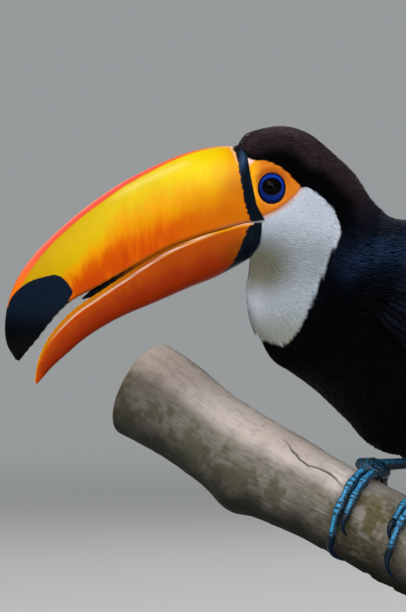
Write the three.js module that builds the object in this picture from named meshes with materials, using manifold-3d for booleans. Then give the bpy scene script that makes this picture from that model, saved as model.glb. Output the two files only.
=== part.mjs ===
// A life-size toco toucan, as a museum shows it: the bird grips a cut length of branch, which two
// rods hold over a round base. Millimetres, +Z up. The bird looks along -X, and the origin is the
// centre of the base's underside.
import * as THREE from "three";
import { ParametricGeometry } from "three/addons/geometries/ParametricGeometry.js";
import { mergeVertices } from "three/addons/utils/BufferGeometryUtils.js";
import Module from "manifold-3d";

const wasm = await Module();
wasm.setup();

// ---------------------------------------------------------------- driving dimensions
const gap = 0.3; // the least space between two neighbouring solids
const birdPlace = new THREE.Vector3(-52, -28, 0); // the neck's upright turning axis, on the base
const trunkTurn = THREE.MathUtils.degToRad(30); // trunk turned from the line of the head
const turnEnd = 60; // the turn is complete this far behind the neck's slanting plane
const napePoint = [29, 325]; // x, z of a point on the neck's slanting plane
const neckSlope = THREE.MathUtils.degToRad(24.5); // the plane's rise from throat to nape

// The body as sections from the bill's base to the tail coverts. Each section joins a point on the
// back line to one on the belly line, and has a half width near its top and one near its bottom.
const bodySections = [
  { back: [-53.5, 359.5], belly: [-46.0, 289.5], top: 18.0, low: 21.5 }, // bill's base
  { back: [-47.5, 367.3], belly: [-46.3, 283.5], top: 21.5, low: 22.5 }, // forehead, chin
  { back: [-36.0, 371.5], belly: [-47.3, 276.5], top: 25.0, low: 23.5 },
  { back: [-22.0, 372.0], belly: [-48.8, 268.0], top: 27.5, low: 25.5 }, // crown
  { back: [-8.0, 366.5], belly: [-48.0, 258.0], top: 29.0, low: 28.5 },
  { back: [6.0, 354.0], belly: [-44.5, 246.0], top: 29.5, low: 33.5 }, // nape, breast
  { back: [18.0, 341.0], belly: [-39.0, 235.0], top: 31.5, low: 39.0 },
  { back: [29.0, 325.5], belly: [-31.0, 224.5], top: 38.0, low: 45.0 }, // neck's root
  { back: [44.0, 315.0], belly: [-18.0, 217.5], top: 44.0, low: 50.0 },
  { back: [64.0, 314.5], belly: [2.0, 205.0], top: 48.0, low: 53.0 }, // shoulders
  { back: [88.0, 310.0], belly: [24.0, 187.0], top: 49.0, low: 54.0 },
  { back: [113.0, 301.0], belly: [46.0, 168.5], top: 47.0, low: 52.0 },
  { back: [140.0, 286.0], belly: [84.0, 166.0], top: 42.0, low: 46.0 },
  { back: [164.0, 269.0], belly: [118.0, 168.0], top: 35.0, low: 39.0 },
  { back: [185.0, 252.0], belly: [150.0, 175.0], top: 28.0, low: 31.0 }, // rump, vent
  { back: [203.0, 237.0], belly: [176.0, 180.5], top: 24.5, low: 26.0 },
  { back: [219.0, 224.0], belly: [200.0, 185.5], top: 22.5, low: 22.5 },
  { back: [234.0, 211.0], belly: [222.0, 189.5], top: 21.0, low: 20.0 }, // tail coverts end
];
const headEnd = 5; // the section where the head stops and the neck starts
const neckEnd = 7; // the section where the neck stops and the trunk starts

// The bill: each section joins a point on the ridge or keel to one on the cutting edge.
const upperBillSections = [
  { ridge: [-54.4, 359.1], edge: [-49.3, 312.6], half: 20.8 }, // base
  { ridge: [-66.0, 359.5], edge: [-60.0, 309.8], half: 20.3 },
  { ridge: [-84.0, 355.9], edge: [-79.0, 304.2], half: 19.4 },
  { ridge: [-104.0, 348.2], edge: [-98.6, 296.8], half: 18.2 },
  { ridge: [-126.0, 337.2], edge: [-119.2, 285.6], half: 16.8 },
  { ridge: [-148.0, 322.0], edge: [-139.8, 273.4], half: 15.0 },
  { ridge: [-168.0, 305.0], edge: [-155.5, 264.6], half: 13.0 },
  { ridge: [-183.0, 289.2], edge: [-164.5, 257.0], half: 11.4 },
  { ridge: [-193.2, 272.5], edge: [-172.4, 247.6], half: 9.4 },
  { ridge: [-198.2, 254.0], edge: [-179.3, 238.6], half: 7.2 },
  { ridge: [-197.6, 238.0], edge: [-185.5, 231.4], half: 4.6 },
  { ridge: [-192.0, 227.2], edge: [-189.6, 226.4], half: 1.6 }, // tip
];
const lowerBillSections = [
  { ridge: [-47.0, 290.0], edge: [-49.3, 310.6], half: 20.0 }, // base
  { ridge: [-56.0, 284.6], edge: [-60.0, 307.5], half: 19.6 },
  { ridge: [-67.6, 278.4], edge: [-76.0, 302.5], half: 18.8 },
  { ridge: [-86.0, 271.0], edge: [-98.6, 294.0], half: 17.0 },
  { ridge: [-108.0, 261.5], edge: [-119.2, 281.8], half: 15.0 },
  { ridge: [-130.0, 252.0], edge: [-139.8, 268.8], half: 12.6 },
  { ridge: [-148.0, 240.8], edge: [-154.6, 259.2], half: 10.6 },
  { ridge: [-159.5, 231.2], edge: [-165.6, 248.4], half: 8.6 },
  { ridge: [-168.0, 223.8], edge: [-173.0, 238.0], half: 6.8 },
  { ridge: [-174.5, 216.6], edge: [-178.0, 226.0], half: 4.6 },
  { ridge: [-178.6, 212.0], edge: [-180.0, 213.6], half: 1.4 }, // tip
];

const eye = { x: -32.9, z: 333.6, radius: 8, proud: 2.3 };

// The folded wing, in the body's own measure: along is the section number from the bill's base,
// upper and lower are the heights of its edges, from 1 on the back line to -1 on the belly line.
const wingSections = [
  { along: 7.3, upper: 0.42, lower: 0.1, thick: 2.0 }, // wrist
  { along: 7.9, upper: 0.74, lower: -0.2, thick: 5.5 },
  { along: 9.0, upper: 0.86, lower: -0.36, thick: 7.5 },
  { along: 10.5, upper: 0.87, lower: -0.42, thick: 7.5 },
  { along: 12.0, upper: 0.86, lower: -0.32, thick: 6.5 },
  { along: 13.5, upper: 0.84, lower: -0.1, thick: 5.5 },
  { along: 15.0, upper: 0.8, lower: 0.18, thick: 4.5 },
  { along: 16.0, upper: 0.74, lower: 0.36, thick: 3.5 },
  { along: 16.7, upper: 0.66, lower: 0.52, thick: 2.5 }, // tips of the flight feathers
];
const tail = { length: 124, slope: 31, rootHalf: 20, endHalf: 29, rootThick: 14, endThick: 3.2 };

const branch = {
  slope: 24, // fall of the branch towards the rear end, degrees
  swing: 30, // its turn from the line of the head, degrees
  crossing: new THREE.Vector3(38, 22, 118.2), // a point of its axis between the feet
  ahead: 196, // length from there to the front end
  behind: 106, // length from there to the rear end
  radius: 27.8,
  frontSwell: 4.5, // extra radius at the front end
  lift: 9, // the front end bows up by this much
};
// along is the foot's place on the branch's axis, and roll the angle its grip is turned back by.
const legs = [
  { side: "right", sign: 1, along: -24, roll: 0 },
  { side: "left", sign: -1, along: 12, roll: 20 },
];
const footPad = { long: 12.5, wide: 9, high: 5.6 };
const tarsusLength = 47;
const ankleHeight = 162;
const thighTop = { x: 62, y: 22, z: 190, radius: 18 }; // inside the belly
// A toe runs round the branch between two angles from its top, positive to the bird's front.
// Its place along the branch is measured away from the bird's middle, and drift shifts its end.
const toes = [
  { name: "outer_front", from: 8, to: 109, out: 2.4, drift: 7.4, radius: 2.8, claw: 33 },
  { name: "inner_front", from: 8, to: 77, out: -3.2, drift: 6, radius: 2.8, claw: 22 },
  { name: "outer_rear", from: -8, to: -112, out: 4, drift: -6, radius: 2.7, claw: 31 },
  { name: "inner_rear", from: -8, to: -72, out: -4, drift: -5, radius: 2.6, claw: 22 },
];
const claw = { radius: 2.1, tip: 0.45, standOff: 2.4 }; // toe.claw is its angle round the branch

const base = { radius: 125, height: 16, bevel: 3 };
const rod = { radius: 5, collarRadius: 11, collarHeight: 6, places: [28, 78] }; // along the branch

// ---------------------------------------------------------------- small helpers
const up = new THREE.Vector3(0, 0, 1);
const clamp = THREE.MathUtils.clamp;
const smooth = (x, from, to) => THREE.MathUtils.smoothstep(x, from, to);
const mix = THREE.MathUtils.lerp;

// A smooth run through a list of numbers, read at a place from 0 to 1.
function track(values) {
  const points = values.map((value) => new THREE.Vector3(value, 0, 0));
  const curve = new THREE.CatmullRomCurve3(points, false, "catmullrom", 0.5);
  return (place) => curve.getPoint(clamp(place, 0, 1)).x;
}

// One smooth run for each figure of a list of sections.
function tracks(sections, readers) {
  const made = {};
  for (const [name, reader] of Object.entries(readers)) made[name] = track(sections.map(reader));
  return made;
}

// A closed mesh as a manifold solid: shared vertices merged and collapsed triangles dropped.
function solidOf(geometry) {
  const bare = geometry.clone();
  bare.deleteAttribute("normal");
  bare.deleteAttribute("uv");
  const merged = mergeVertices(bare, 1e-3);
  const corners = [];
  for (let i = 0; i < merged.index.count; i += 3) {
    const [a, b, c] = [0, 1, 2].map((k) => merged.index.getX(i + k));
    if (a !== b && b !== c && c !== a) corners.push(a, b, c);
  }
  const mesh = new wasm.Mesh({
    numProp: 3,
    vertProperties: merged.attributes.position.array,
    triVerts: new Uint32Array(corners),
  });
  const made = new wasm.Manifold(mesh);
  if (made.volume() > 0) return made;
  const turnedRound = [];
  for (let i = 0; i < corners.length; i += 3)
    turnedRound.push(corners[i], corners[i + 2], corners[i + 1]);
  mesh.triVerts = new Uint32Array(turnedRound);
  return new wasm.Manifold(mesh);
}

// A solid from sections: ringPoint(turn, place) gives a point of the section at place from 0 to 1,
// for turn from 0 to 1 round it. Both ends are closed by a fan to the section's middle.
function loft(ringPoint, around, along) {
  const stacks = along + 2;
  const middle = (place) => {
    const sum = new THREE.Vector3();
    for (let i = 0; i < around; i++) sum.add(ringPoint(i / around, place));
    return sum.divideScalar(around);
  };
  const ends = [middle(0), middle(1)];
  const surface = (turn, height, target) => {
    const ring = Math.round(height * stacks);
    if (ring === 0) return target.copy(ends[0]);
    if (ring === stacks) return target.copy(ends[1]);
    const wrapped = turn > 1 - 1e-4 ? 0 : turn;
    return target.copy(ringPoint(wrapped, (ring - 1) / along));
  };
  return solidOf(new ParametricGeometry(surface, around, stacks));
}

// A round tube of changing radius along a path, with rounded ends.
function tube(path, radiusAt, around, along) {
  const ringPoint = (turn, place) => {
    const at = path(place);
    const ahead = path(Math.min(1, place + 0.01)).sub(path(Math.max(0, place - 0.01))).normalize();
    const side = new THREE.Vector3().crossVectors(up, ahead);
    if (side.length() < 0.1) side.set(0, 1, 0).cross(ahead);
    side.normalize();
    const over = new THREE.Vector3().crossVectors(ahead, side);
    const angle = turn * 2 * Math.PI;
    const radius = radiusAt(place);
    return at
      .addScaledVector(side, radius * Math.cos(angle))
      .addScaledVector(over, radius * Math.sin(angle));
  };
  return loft(ringPoint, around, along);
}

function ellipsoid(centre, axes, sizes, around, rows) {
  const geometry = new THREE.SphereGeometry(1, around, rows);
  const frame = new THREE.Matrix4().makeBasis(
    axes[0].clone().multiplyScalar(sizes[0]),
    axes[1].clone().multiplyScalar(sizes[1]),
    axes[2].clone().multiplyScalar(sizes[2]),
  );
  frame.setPosition(centre);
  return solidOf(geometry.applyMatrix4(frame));
}

// ---------------------------------------------------------------- the bird's body
// Turns a point of the straight bird about the upright axis through its neck: not at all in the
// head, and by the whole trunkTurn behind the neck.
function turned(point) {
  const behind =
    (point.x - napePoint[0]) * Math.sin(neckSlope) - (point.z - napePoint[1]) * Math.cos(neckSlope);
  return point.applyAxisAngle(up, trunkTurn * smooth(behind, 0, turnEnd));
}

const lastSection = bodySections.length - 1;
const body = tracks(bodySections, {
  backX: (s) => s.back[0],
  backZ: (s) => s.back[1],
  bellyX: (s) => s.belly[0],
  bellyZ: (s) => s.belly[1],
  top: (s) => s.top,
  low: (s) => s.low,
});

// A point of the straight bird's surface: section is a section number, turn goes round from the
// back line over the right side, and grow moves it out along the section's own normal.
function bodyPoint(section, turn, grow = 0) {
  const place = section / lastSection;
  const height = Math.cos(turn * 2 * Math.PI);
  const side = Math.sin(turn * 2 * Math.PI);
  const backX = body.backX(place);
  const backZ = body.backZ(place);
  const bellyX = body.bellyX(place);
  const bellyZ = body.bellyZ(place);
  const halfTall = Math.hypot(backX - bellyX, backZ - bellyZ) / 2;
  const halfWide = mix(body.low(place), body.top(place), (height + 1) / 2);
  const rise = new THREE.Vector3(backX - bellyX, 0, backZ - bellyZ).normalize();
  const outward = rise.clone().multiplyScalar(height / halfTall);
  outward.y = side / halfWide;
  outward.normalize();
  return new THREE.Vector3((backX + bellyX) / 2, 0, (backZ + bellyZ) / 2)
    .addScaledVector(rise, halfTall * height)
    .add(new THREE.Vector3(0, halfWide * Math.sign(side) * Math.abs(side) ** 0.92, 0))
    .addScaledVector(outward, grow);
}

function bodyLength(from, to, along, grow = 0) {
  const ringPoint = (turn, place) => turned(bodyPoint(mix(from, to, place), turn, grow));
  return loft(ringPoint, 26, along);
}

// The turn from the back line at which the section reaches a height from 1 to -1.
const turnAtHeight = (height) => Math.acos(clamp(height, -1, 1)) / (2 * Math.PI);

function makeWing(sign) {
  const wing = tracks(wingSections, {
    along: (s) => s.along,
    upper: (s) => turnAtHeight(s.upper),
    lower: (s) => turnAtHeight(s.lower),
    thick: (s) => s.thick,
  });
  // Half of the ring runs down the outer face and half comes back up against the body.
  const ringPoint = (turn, place) => {
    const outer = turn < 0.5;
    const down = outer ? turn * 2 : 2 - turn * 2;
    const bulge = Math.sin(down * Math.PI) ** 0.5;
    const lift = outer ? 1.2 + wing.thick(place) * bulge : 1.2;
    const bodyTurn = mix(wing.upper(place), wing.lower(place), down);
    return turned(bodyPoint(wing.along(place), sign * bodyTurn, lift));
  };
  return loft(ringPoint, 18, 15);
}

function makeTail() {
  const slope = THREE.MathUtils.degToRad(tail.slope);
  const run = new THREE.Vector3(Math.cos(slope), 0, -Math.sin(slope));
  const over = new THREE.Vector3(Math.sin(slope), 0, Math.cos(slope));
  const last = bodySections[lastSection];
  const root = new THREE.Vector3(
    (last.back[0] + last.belly[0]) / 2,
    0,
    (last.back[1] + last.belly[1]) / 2,
  ).addScaledVector(run, 0.8);
  const ringPoint = (turn, place) => {
    const angle = turn * 2 * Math.PI;
    const across = Math.cos(angle);
    const half = mix(tail.rootHalf, tail.endHalf, place ** 0.8);
    const thick = mix(tail.rootThick, tail.endThick, place ** 0.6) / 2;
    // The outer feathers are shorter, so the end is rounded, and the vane is arched.
    const length = tail.length * place * (1 - 0.12 * across * across * place);
    const arch = -0.16 * half * across * across;
    return turned(
      root
        .clone()
        .addScaledVector(run, length)
        .addScaledVector(over, arch + thick * Math.sin(angle))
        .add(new THREE.Vector3(0, half * across, 0)),
    );
  };
  return loft(ringPoint, 16, 7);
}

// ---------------------------------------------------------------- bill and eyes
// A mandible: a rounded side from the ridge to the cutting edge, and a flat inner face.
function makeMandible(sections, ridgeSharp, sideFull) {
  const bill = tracks(sections, {
    ridgeX: (s) => s.ridge[0],
    ridgeZ: (s) => s.ridge[1],
    edgeX: (s) => s.edge[0],
    edgeZ: (s) => s.edge[1],
    half: (s) => s.half,
  });
  const sideShare = 0.84; // of the way from the ridge to the middle of the inner face
  const ringPoint = (turn, place) => {
    const sign = turn < 0.5 ? 1 : -1;
    const way = turn < 0.5 ? turn * 2 : 2 - turn * 2;
    const quarter = (Math.min(way, sideShare) / sideShare) * (Math.PI / 2);
    const height = Math.cos(quarter) ** ridgeSharp;
    const inward = way > sideShare ? (way - sideShare) / (1 - sideShare) : 0;
    const width = way > sideShare ? 1 - inward : Math.sin(quarter) ** sideFull;
    return new THREE.Vector3(
      mix(bill.edgeX(place), bill.ridgeX(place), height),
      sign * width * bill.half(place),
      mix(bill.edgeZ(place), bill.ridgeZ(place), height),
    );
  };
  return loft(ringPoint, 18, 16);
}

const eyeCentre = (sign) => {
  // The eye sits on the head's side, at the section whose line passes through it.
  let best = { away: Infinity };
  for (let section = 1; section < 5; section += 0.05)
    for (let turn = 0.05; turn < 0.45; turn += 0.005) {
      const point = bodyPoint(section, turn);
      const away = Math.hypot(point.x - eye.x, point.z - eye.z);
      if (away < best.away) best = { away, halfWide: point.y };
    }
  return new THREE.Vector3(eye.x, sign * (best.halfWide + eye.proud - eye.radius), eye.z);
};

function makeEyeball(sign, grow) {
  const axes = [new THREE.Vector3(1, 0, 0), new THREE.Vector3(0, 0, -1), new THREE.Vector3(0, 1, 0)];
  const size = eye.radius + grow;
  return ellipsoid(eyeCentre(sign), axes, [size, size, size], 14, 8);
}

// ---------------------------------------------------------------- branch, legs and feet
const slope = THREE.MathUtils.degToRad(branch.slope);
const swing = THREE.MathUtils.degToRad(branch.swing);
const branchRun = new THREE.Vector3(
  Math.cos(slope) * Math.cos(swing),
  -Math.cos(slope) * Math.sin(swing),
  -Math.sin(slope),
);
const branchUp = up.clone().addScaledVector(branchRun, Math.sin(slope)).normalize();
const branchFront = new THREE.Vector3().crossVectors(branchRun, branchUp);

// The branch is thicker towards its front end, and a little uneven away from the feet.
function branchRadius(along, angle) {
  const swell = branch.frontSwell * smooth(-along, 20, branch.ahead);
  const uneven = 1.1 * smooth(Math.abs(along), 48, 90);
  const knot = 4.5 * Math.exp(-(((along + 104) / 14) ** 2)) * Math.max(0, Math.cos(angle - 2.6));
  return branch.radius + swell + uneven * Math.sin(angle * 2 + along * 0.05) + knot;
}

function branchPoint(along, angle, lift) {
  const radius = branchRadius(along, angle) + lift;
  return branch.crossing
    .clone()
    .addScaledVector(branchRun, along)
    .addScaledVector(branchUp, radius * Math.cos(angle) + branch.lift * smooth(-along, 100, 190))
    .addScaledVector(branchFront, radius * Math.sin(angle));
}

function makeBranch(grow) {
  const ringPoint = (turn, place) => {
    const along = mix(-branch.ahead - grow, branch.behind + grow, place);
    return branchPoint(along, turn * 2 * Math.PI, grow);
  };
  return loft(ringPoint, 20, 14);
}

const toeShift = (leg, toe) => leg.along - leg.sign * toe.out;

function toePath(leg, toe) {
  return (place) => {
    const angle = THREE.MathUtils.degToRad(mix(toe.from, toe.to, place) - leg.roll);
    const along = toeShift(leg, toe) + toe.drift * place;
    return branchPoint(along, angle, gap * 2 + toe.radius * mix(1.3, 1, place));
  };
}

function makeToe(leg, toe, grow) {
  const joints = 3;
  // Swells at each joint, and rounds off over the last tenth.
  const radiusAt = (place) => {
    const swell = 1 + 0.1 * Math.cos(place * joints * 2 * Math.PI);
    const taper = mix(1.1, 0.8, place);
    const end = Math.sqrt(clamp((1 - place) / 0.08, 0.3, 1));
    return toe.radius * swell * taper * end + grow;
  };
  return tube(toePath(leg, toe), radiusAt, 7, 9);
}

function makeClaw(leg, toe) {
  const sign = Math.sign(toe.to);
  const start = toe.to + sign * 2 - leg.roll;
  const path = (place) => {
    const angle = THREE.MathUtils.degToRad(start + sign * toe.claw * place);
    const along = toeShift(leg, toe) + toe.drift + (sign * 90 * place ** 2) / toe.claw;
    // The claw stands off the bark in the middle and its tip comes back to it.
    const arch = claw.standOff * Math.sin(place * Math.PI);
    return branchPoint(along, angle, gap * 2 + mix(claw.radius, claw.tip, place) + arch);
  };
  const radiusAt = (place) => mix(claw.radius, claw.tip, place ** 0.8);
  return tube(path, radiusAt, 6, 6);
}

const padCentre = (leg) => {
  const angle = THREE.MathUtils.degToRad(-leg.roll);
  return branchPoint(leg.along, angle, footPad.high + gap * 2);
};

// The ankle lies behind the foot, in the direction of the trunk, under the belly feathers.
function anklePoint(leg) {
  const rear = new THREE.Vector3(Math.cos(trunkTurn), Math.sin(trunkTurn), 0);
  const foot = padCentre(leg);
  const rise = ankleHeight - foot.z;
  const run = Math.sqrt(tarsusLength ** 2 - rise ** 2);
  return foot.addScaledVector(rear, run).setZ(ankleHeight);
}

function makeFoot(leg, grow = 0) {
  const rear = anklePoint(leg).sub(padCentre(leg)).setZ(0).normalize();
  const flat = rear.clone().addScaledVector(branchUp, -rear.dot(branchUp)).normalize();
  const side = new THREE.Vector3().crossVectors(branchUp, flat);
  const sizes = [footPad.long + grow, footPad.wide + grow, footPad.high + grow];
  let foot = ellipsoid(padCentre(leg), [flat, side, branchUp], sizes, 12, 6);
  for (const toe of toes) foot = foot.add(makeToe(leg, toe, grow));
  return foot;
}

function makeTarsus(leg, grow = 0) {
  const foot = padCentre(leg).addScaledVector(branchUp, 1.5);
  const ankle = anklePoint(leg);
  const path = (place) => foot.clone().lerp(ankle, mix(0.12, 1, place));
  const radiusAt = (place) =>
    mix(4.4, 5.2, place ** 3) - 0.8 * Math.sin(place * Math.PI) + grow;
  return tube(path, radiusAt, 10, 6);
}

// The feathered thigh: from inside the belly down to the ankle.
function makeThigh(leg) {
  const top = turned(new THREE.Vector3(thighTop.x, leg.sign * thighTop.y, thighTop.z));
  const ankle = anklePoint(leg);
  const path = (place) => top.clone().lerp(ankle, place);
  return tube(path, (place) => mix(thighTop.radius, 9.5, place), 14, 6);
}

// ---------------------------------------------------------------- display stand
function makeBase() {
  const { radius, height, bevel } = base;
  const profile = [
    [0, 0],
    [radius - bevel, 0],
    [radius, bevel],
    [radius, height - bevel],
    [radius - bevel, height],
    [0, height],
  ].map(([x, y]) => new THREE.Vector2(x, y));
  const geometry = new THREE.LatheGeometry(profile, 40);
  return solidOf(geometry.rotateX(Math.PI / 2));
}

function makeRod(along) {
  const top = branch.crossing.clone().addScaledVector(branchRun, along);
  const { radius, collarRadius, collarHeight } = rod;
  const profile = [
    [0, base.height],
    [collarRadius, base.height],
    [collarRadius, base.height + collarHeight - 1.5],
    [collarRadius - 1.5, base.height + collarHeight],
    [radius, base.height + collarHeight],
    [radius, top.z],
    [0, top.z],
  ].map(([x, y]) => new THREE.Vector2(x, y));
  const geometry = new THREE.LatheGeometry(profile, 18).rotateX(Math.PI / 2);
  return solidOf(geometry.translate(top.x, top.y, 0)).subtract(makeBranch(gap));
}

// ---------------------------------------------------------------- finishes
const finish = (color, roughness, metalness = 0) =>
  new THREE.MeshStandardMaterial({ color, roughness, metalness });
const blackPlumage = finish("#0d1118", 0.6);
const crownPlumage = finish("#2b2226", 0.7);
const billOrange = finish("#f09a10", 0.35);
const billDeepOrange = finish("#d65a05", 0.35);
const eyeBrown = finish("#15100c", 0.08);
const toeBlue = finish("#4f86c4", 0.5);
const clawBlack = finish("#0b0d12", 0.3);
const bark = finish("#8f8378", 0.85);
const standWood = finish("#2a1c14", 0.35);
const standSteel = finish("#6f7377", 0.35, 1);

// ---------------------------------------------------------------- assembly
const toucan = new THREE.Group();
const bird = new THREE.Group();
bird.position.copy(birdPlace);
toucan.add(bird);

function addNode(parent, name, solid, material) {
  const { vertProperties, triVerts, numProp } = solid.getMesh();
  const geometry = new THREE.BufferGeometry();
  const positions = new Float32Array((vertProperties.length / numProp) * 3);
  for (let i = 0; i < positions.length; i++)
    positions[i] = vertProperties[Math.floor(i / 3) * numProp + (i % 3)];
  geometry.setAttribute("position", new THREE.BufferAttribute(positions, 3));
  geometry.setIndex(new THREE.BufferAttribute(triVerts, 1));
  const mesh = new THREE.Mesh(geometry, material);
  mesh.name = name;
  parent.add(mesh);
  return mesh;
}

const split = 0.02; // a section number's share left open at each cut of the body
const grownHead = bodyLength(0, headEnd - split, 10, gap);
const grownTrunk = bodyLength(neckEnd, lastSection, 14, gap);
const sides = { left: -1, right: 1 };

let head = bodyLength(0, headEnd - split, 10);
for (const [side, sign] of Object.entries(sides)) {
  head = head.subtract(makeEyeball(sign, gap));
  addNode(bird, `eye_${side}`, makeEyeball(sign, 0), eyeBrown);
}
addNode(bird, "head", head, crownPlumage);
addNode(bird, "neck", bodyLength(headEnd + split, neckEnd - split, 4), blackPlumage);
addNode(bird, "trunk", bodyLength(neckEnd + split, lastSection, 14), blackPlumage);
const upperBill = makeMandible(upperBillSections, 0.87, 1).subtract(grownHead);
const lowerBill = makeMandible(lowerBillSections, 0.9, 0.9).subtract(grownHead);
addNode(bird, "upper_bill", upperBill, billOrange);
addNode(bird, "lower_bill", lowerBill, billDeepOrange);
for (const [side, sign] of Object.entries(sides))
  addNode(bird, `wing_${side}`, makeWing(sign).subtract(grownTrunk), blackPlumage);
addNode(bird, "tail", makeTail(), blackPlumage);

addNode(bird, "perch", makeBranch(0), bark);
for (const leg of legs) {
  const foot = makeFoot(leg);
  const tarsus = makeTarsus(leg).subtract(makeFoot(leg, gap)).subtract(grownTrunk);
  const thigh = makeThigh(leg).subtract(grownTrunk).subtract(makeTarsus(leg, gap));
  addNode(bird, `foot_${leg.side}`, foot, toeBlue);
  addNode(bird, `tarsus_${leg.side}`, tarsus, toeBlue);
  addNode(bird, `thigh_${leg.side}`, thigh, blackPlumage);
  for (const toe of toes)
    addNode(bird, `claw_${leg.side}_${toe.name}`, makeClaw(leg, toe), clawBlack);
}
addNode(bird, "stand_rod_front", makeRod(rod.places[0]), standSteel);
addNode(bird, "stand_rod_rear", makeRod(rod.places[1]), standSteel);
addNode(toucan, "stand_base", makeBase(), standWood);

export default toucan;
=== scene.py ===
import math
import bpy
import numpy as np
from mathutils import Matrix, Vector


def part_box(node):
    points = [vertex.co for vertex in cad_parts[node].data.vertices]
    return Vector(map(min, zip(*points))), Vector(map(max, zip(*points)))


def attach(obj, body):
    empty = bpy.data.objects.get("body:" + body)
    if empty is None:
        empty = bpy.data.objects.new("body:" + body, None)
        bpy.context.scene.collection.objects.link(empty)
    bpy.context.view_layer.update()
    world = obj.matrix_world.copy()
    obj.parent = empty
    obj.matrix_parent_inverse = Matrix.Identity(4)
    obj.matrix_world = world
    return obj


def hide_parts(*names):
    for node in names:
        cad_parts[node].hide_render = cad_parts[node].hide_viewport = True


# A life-size toco toucan on a cut branch. Shapes are worked out in millimetres in the bird's own
# frame: x runs from the bill to the tail, y to the head's right side, z up.
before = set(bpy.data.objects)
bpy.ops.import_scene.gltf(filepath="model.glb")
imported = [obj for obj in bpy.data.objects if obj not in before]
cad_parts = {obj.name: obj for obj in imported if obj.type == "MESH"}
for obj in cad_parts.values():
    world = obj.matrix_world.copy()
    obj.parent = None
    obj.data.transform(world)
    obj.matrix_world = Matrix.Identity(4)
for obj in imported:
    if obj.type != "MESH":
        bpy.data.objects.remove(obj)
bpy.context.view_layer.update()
mm = 0.001
rng = np.random.default_rng(7)


def boxMiddle(node):
    low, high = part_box(node)
    return (np.array(low) + np.array(high)) / 2 / mm


eye = {"x": -32.9, "z": 333.6, "radius": 8.0}  # the eyeball's middle and size in the bird's frame
eyeMiddles = {side: boxMiddle(f"eye_{side}") for side in ("left", "right")}
birdPlace = (eyeMiddles["left"] + eyeMiddles["right"]) / 2 - (eye["x"], 0, eye["z"])
eyeOut = (eyeMiddles["right"] - eyeMiddles["left"])[1] / 2  # from the head's middle to the eyeball's


# camera
view = {"aim": (-75.6, 260.4), "away": 2500.0, "lens": 237.0, "sensor": 36}  # x and z of the aim, mm
camera = bpy.data.objects.new("camera", bpy.data.cameras.new("camera"))
camera.data.lens = view["lens"]
camera.data.sensor_width = view["sensor"]
camera.location = (birdPlace + (view["aim"][0], -view["away"], view["aim"][1])) * mm
camera.rotation_euler = (math.pi / 2, 0, 0)
camera.data.clip_end = 60
bpy.context.scene.collection.objects.link(camera)
bpy.context.scene.camera = camera
bpy.context.scene.view_settings.view_transform = "Standard"
print("camera set")


# helpers
def shade(hexColour):
    # sRGB hex to linear: each channel c becomes ((c + 0.055) / 1.055) ^ 2.4, or c / 12.92 when dark
    c = np.array([int(hexColour[i : i + 2], 16) for i in (1, 3, 5)]) / 255
    return np.where(c > 0.04045, ((c + 0.055) / 1.055) ** 2.4, c / 12.92)


def ease(x, start, end):
    # 0 before start, 1 after end, and 3t^2 - 2t^3 between
    t = np.clip((x - start) / (end - start), 0, 1)
    return t * t * (3 - 2 * t)


def mix(a, b, share):
    return a + (b - a) * share


def blend(a, b, share):
    # two colours mixed by an array of shares
    return a + (b - a) * np.asarray(share)[..., None]


def shades(hexColours):
    return {name: shade(hexColour) for name, hexColour in hexColours.items()}


def painted(colours, first, layers):
    # each layer is a colour, an array or one of the named colours, and the share by which it is laid
    # over those before it
    colour = colours[first] if isinstance(first, str) else first
    for over, share in layers:
        colour = blend(colour, colours[over] if isinstance(over, str) else over, share)
    return colour


def bell(x, middle, wide):
    # 1 at the middle, falling as e^-((x - middle) / wide)^2 to both sides
    return np.exp(-(((x - middle) / wide) ** 2))


def onceRound(count):
    # even angles round a ring, in radians
    return (np.arange(count) / count * 2 * np.pi)[None]


def unit(v):
    return v / np.maximum(np.linalg.norm(v, axis=-1, keepdims=True), 1e-9)


def smoothRun(values, place):
    # a cubic through every value: its slope at each is half the step between the two neighbours
    values = np.asarray(values, float)
    padded = np.concatenate([[2 * values[0] - values[1]], values, [2 * values[-1] - values[-2]]])
    place = np.clip(place, 0, len(values) - 1)
    i = np.minimum(np.floor(place).astype(int), len(values) - 2)
    t = np.asarray(place - i)
    t = t[..., None] if values.ndim > 1 else t
    a, b, c, d = padded[i], padded[i + 1], padded[i + 2], padded[i + 3]
    bend = (2 * a - 5 * b + 4 * c - d) * t**2 + (3 * b - a - 3 * c + d) * t**3
    return b + ((c - a) * t + bend) / 2


def roundRun(values, count):
    # the same cubic through a list that closes on itself, read at count even places
    values = np.asarray(values, float)
    wrapped = np.concatenate([values[-1:], values, values[:2]])
    place = np.arange(count) / count * len(values) + 1
    return smoothRun(wrapped, place)


def noise(points, size, seed):
    # a smooth random field from -1 to 1: random values on a lattice of cells of that size, eased between
    lattice = np.random.default_rng(seed).random((24, 24, 24))
    cell = np.floor(points / size).astype(int)
    t = points / size - cell
    t = t * t * (3 - 2 * t)
    total = np.zeros(points.shape[:-1])
    for corner in np.ndindex(2, 2, 2):
        weight = np.prod(np.where(corner, t, 1 - t), axis=-1)
        total += weight * lattice[tuple(np.moveaxis((cell + corner) % 24, -1, 0))]
    return total * 2 - 1


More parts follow.
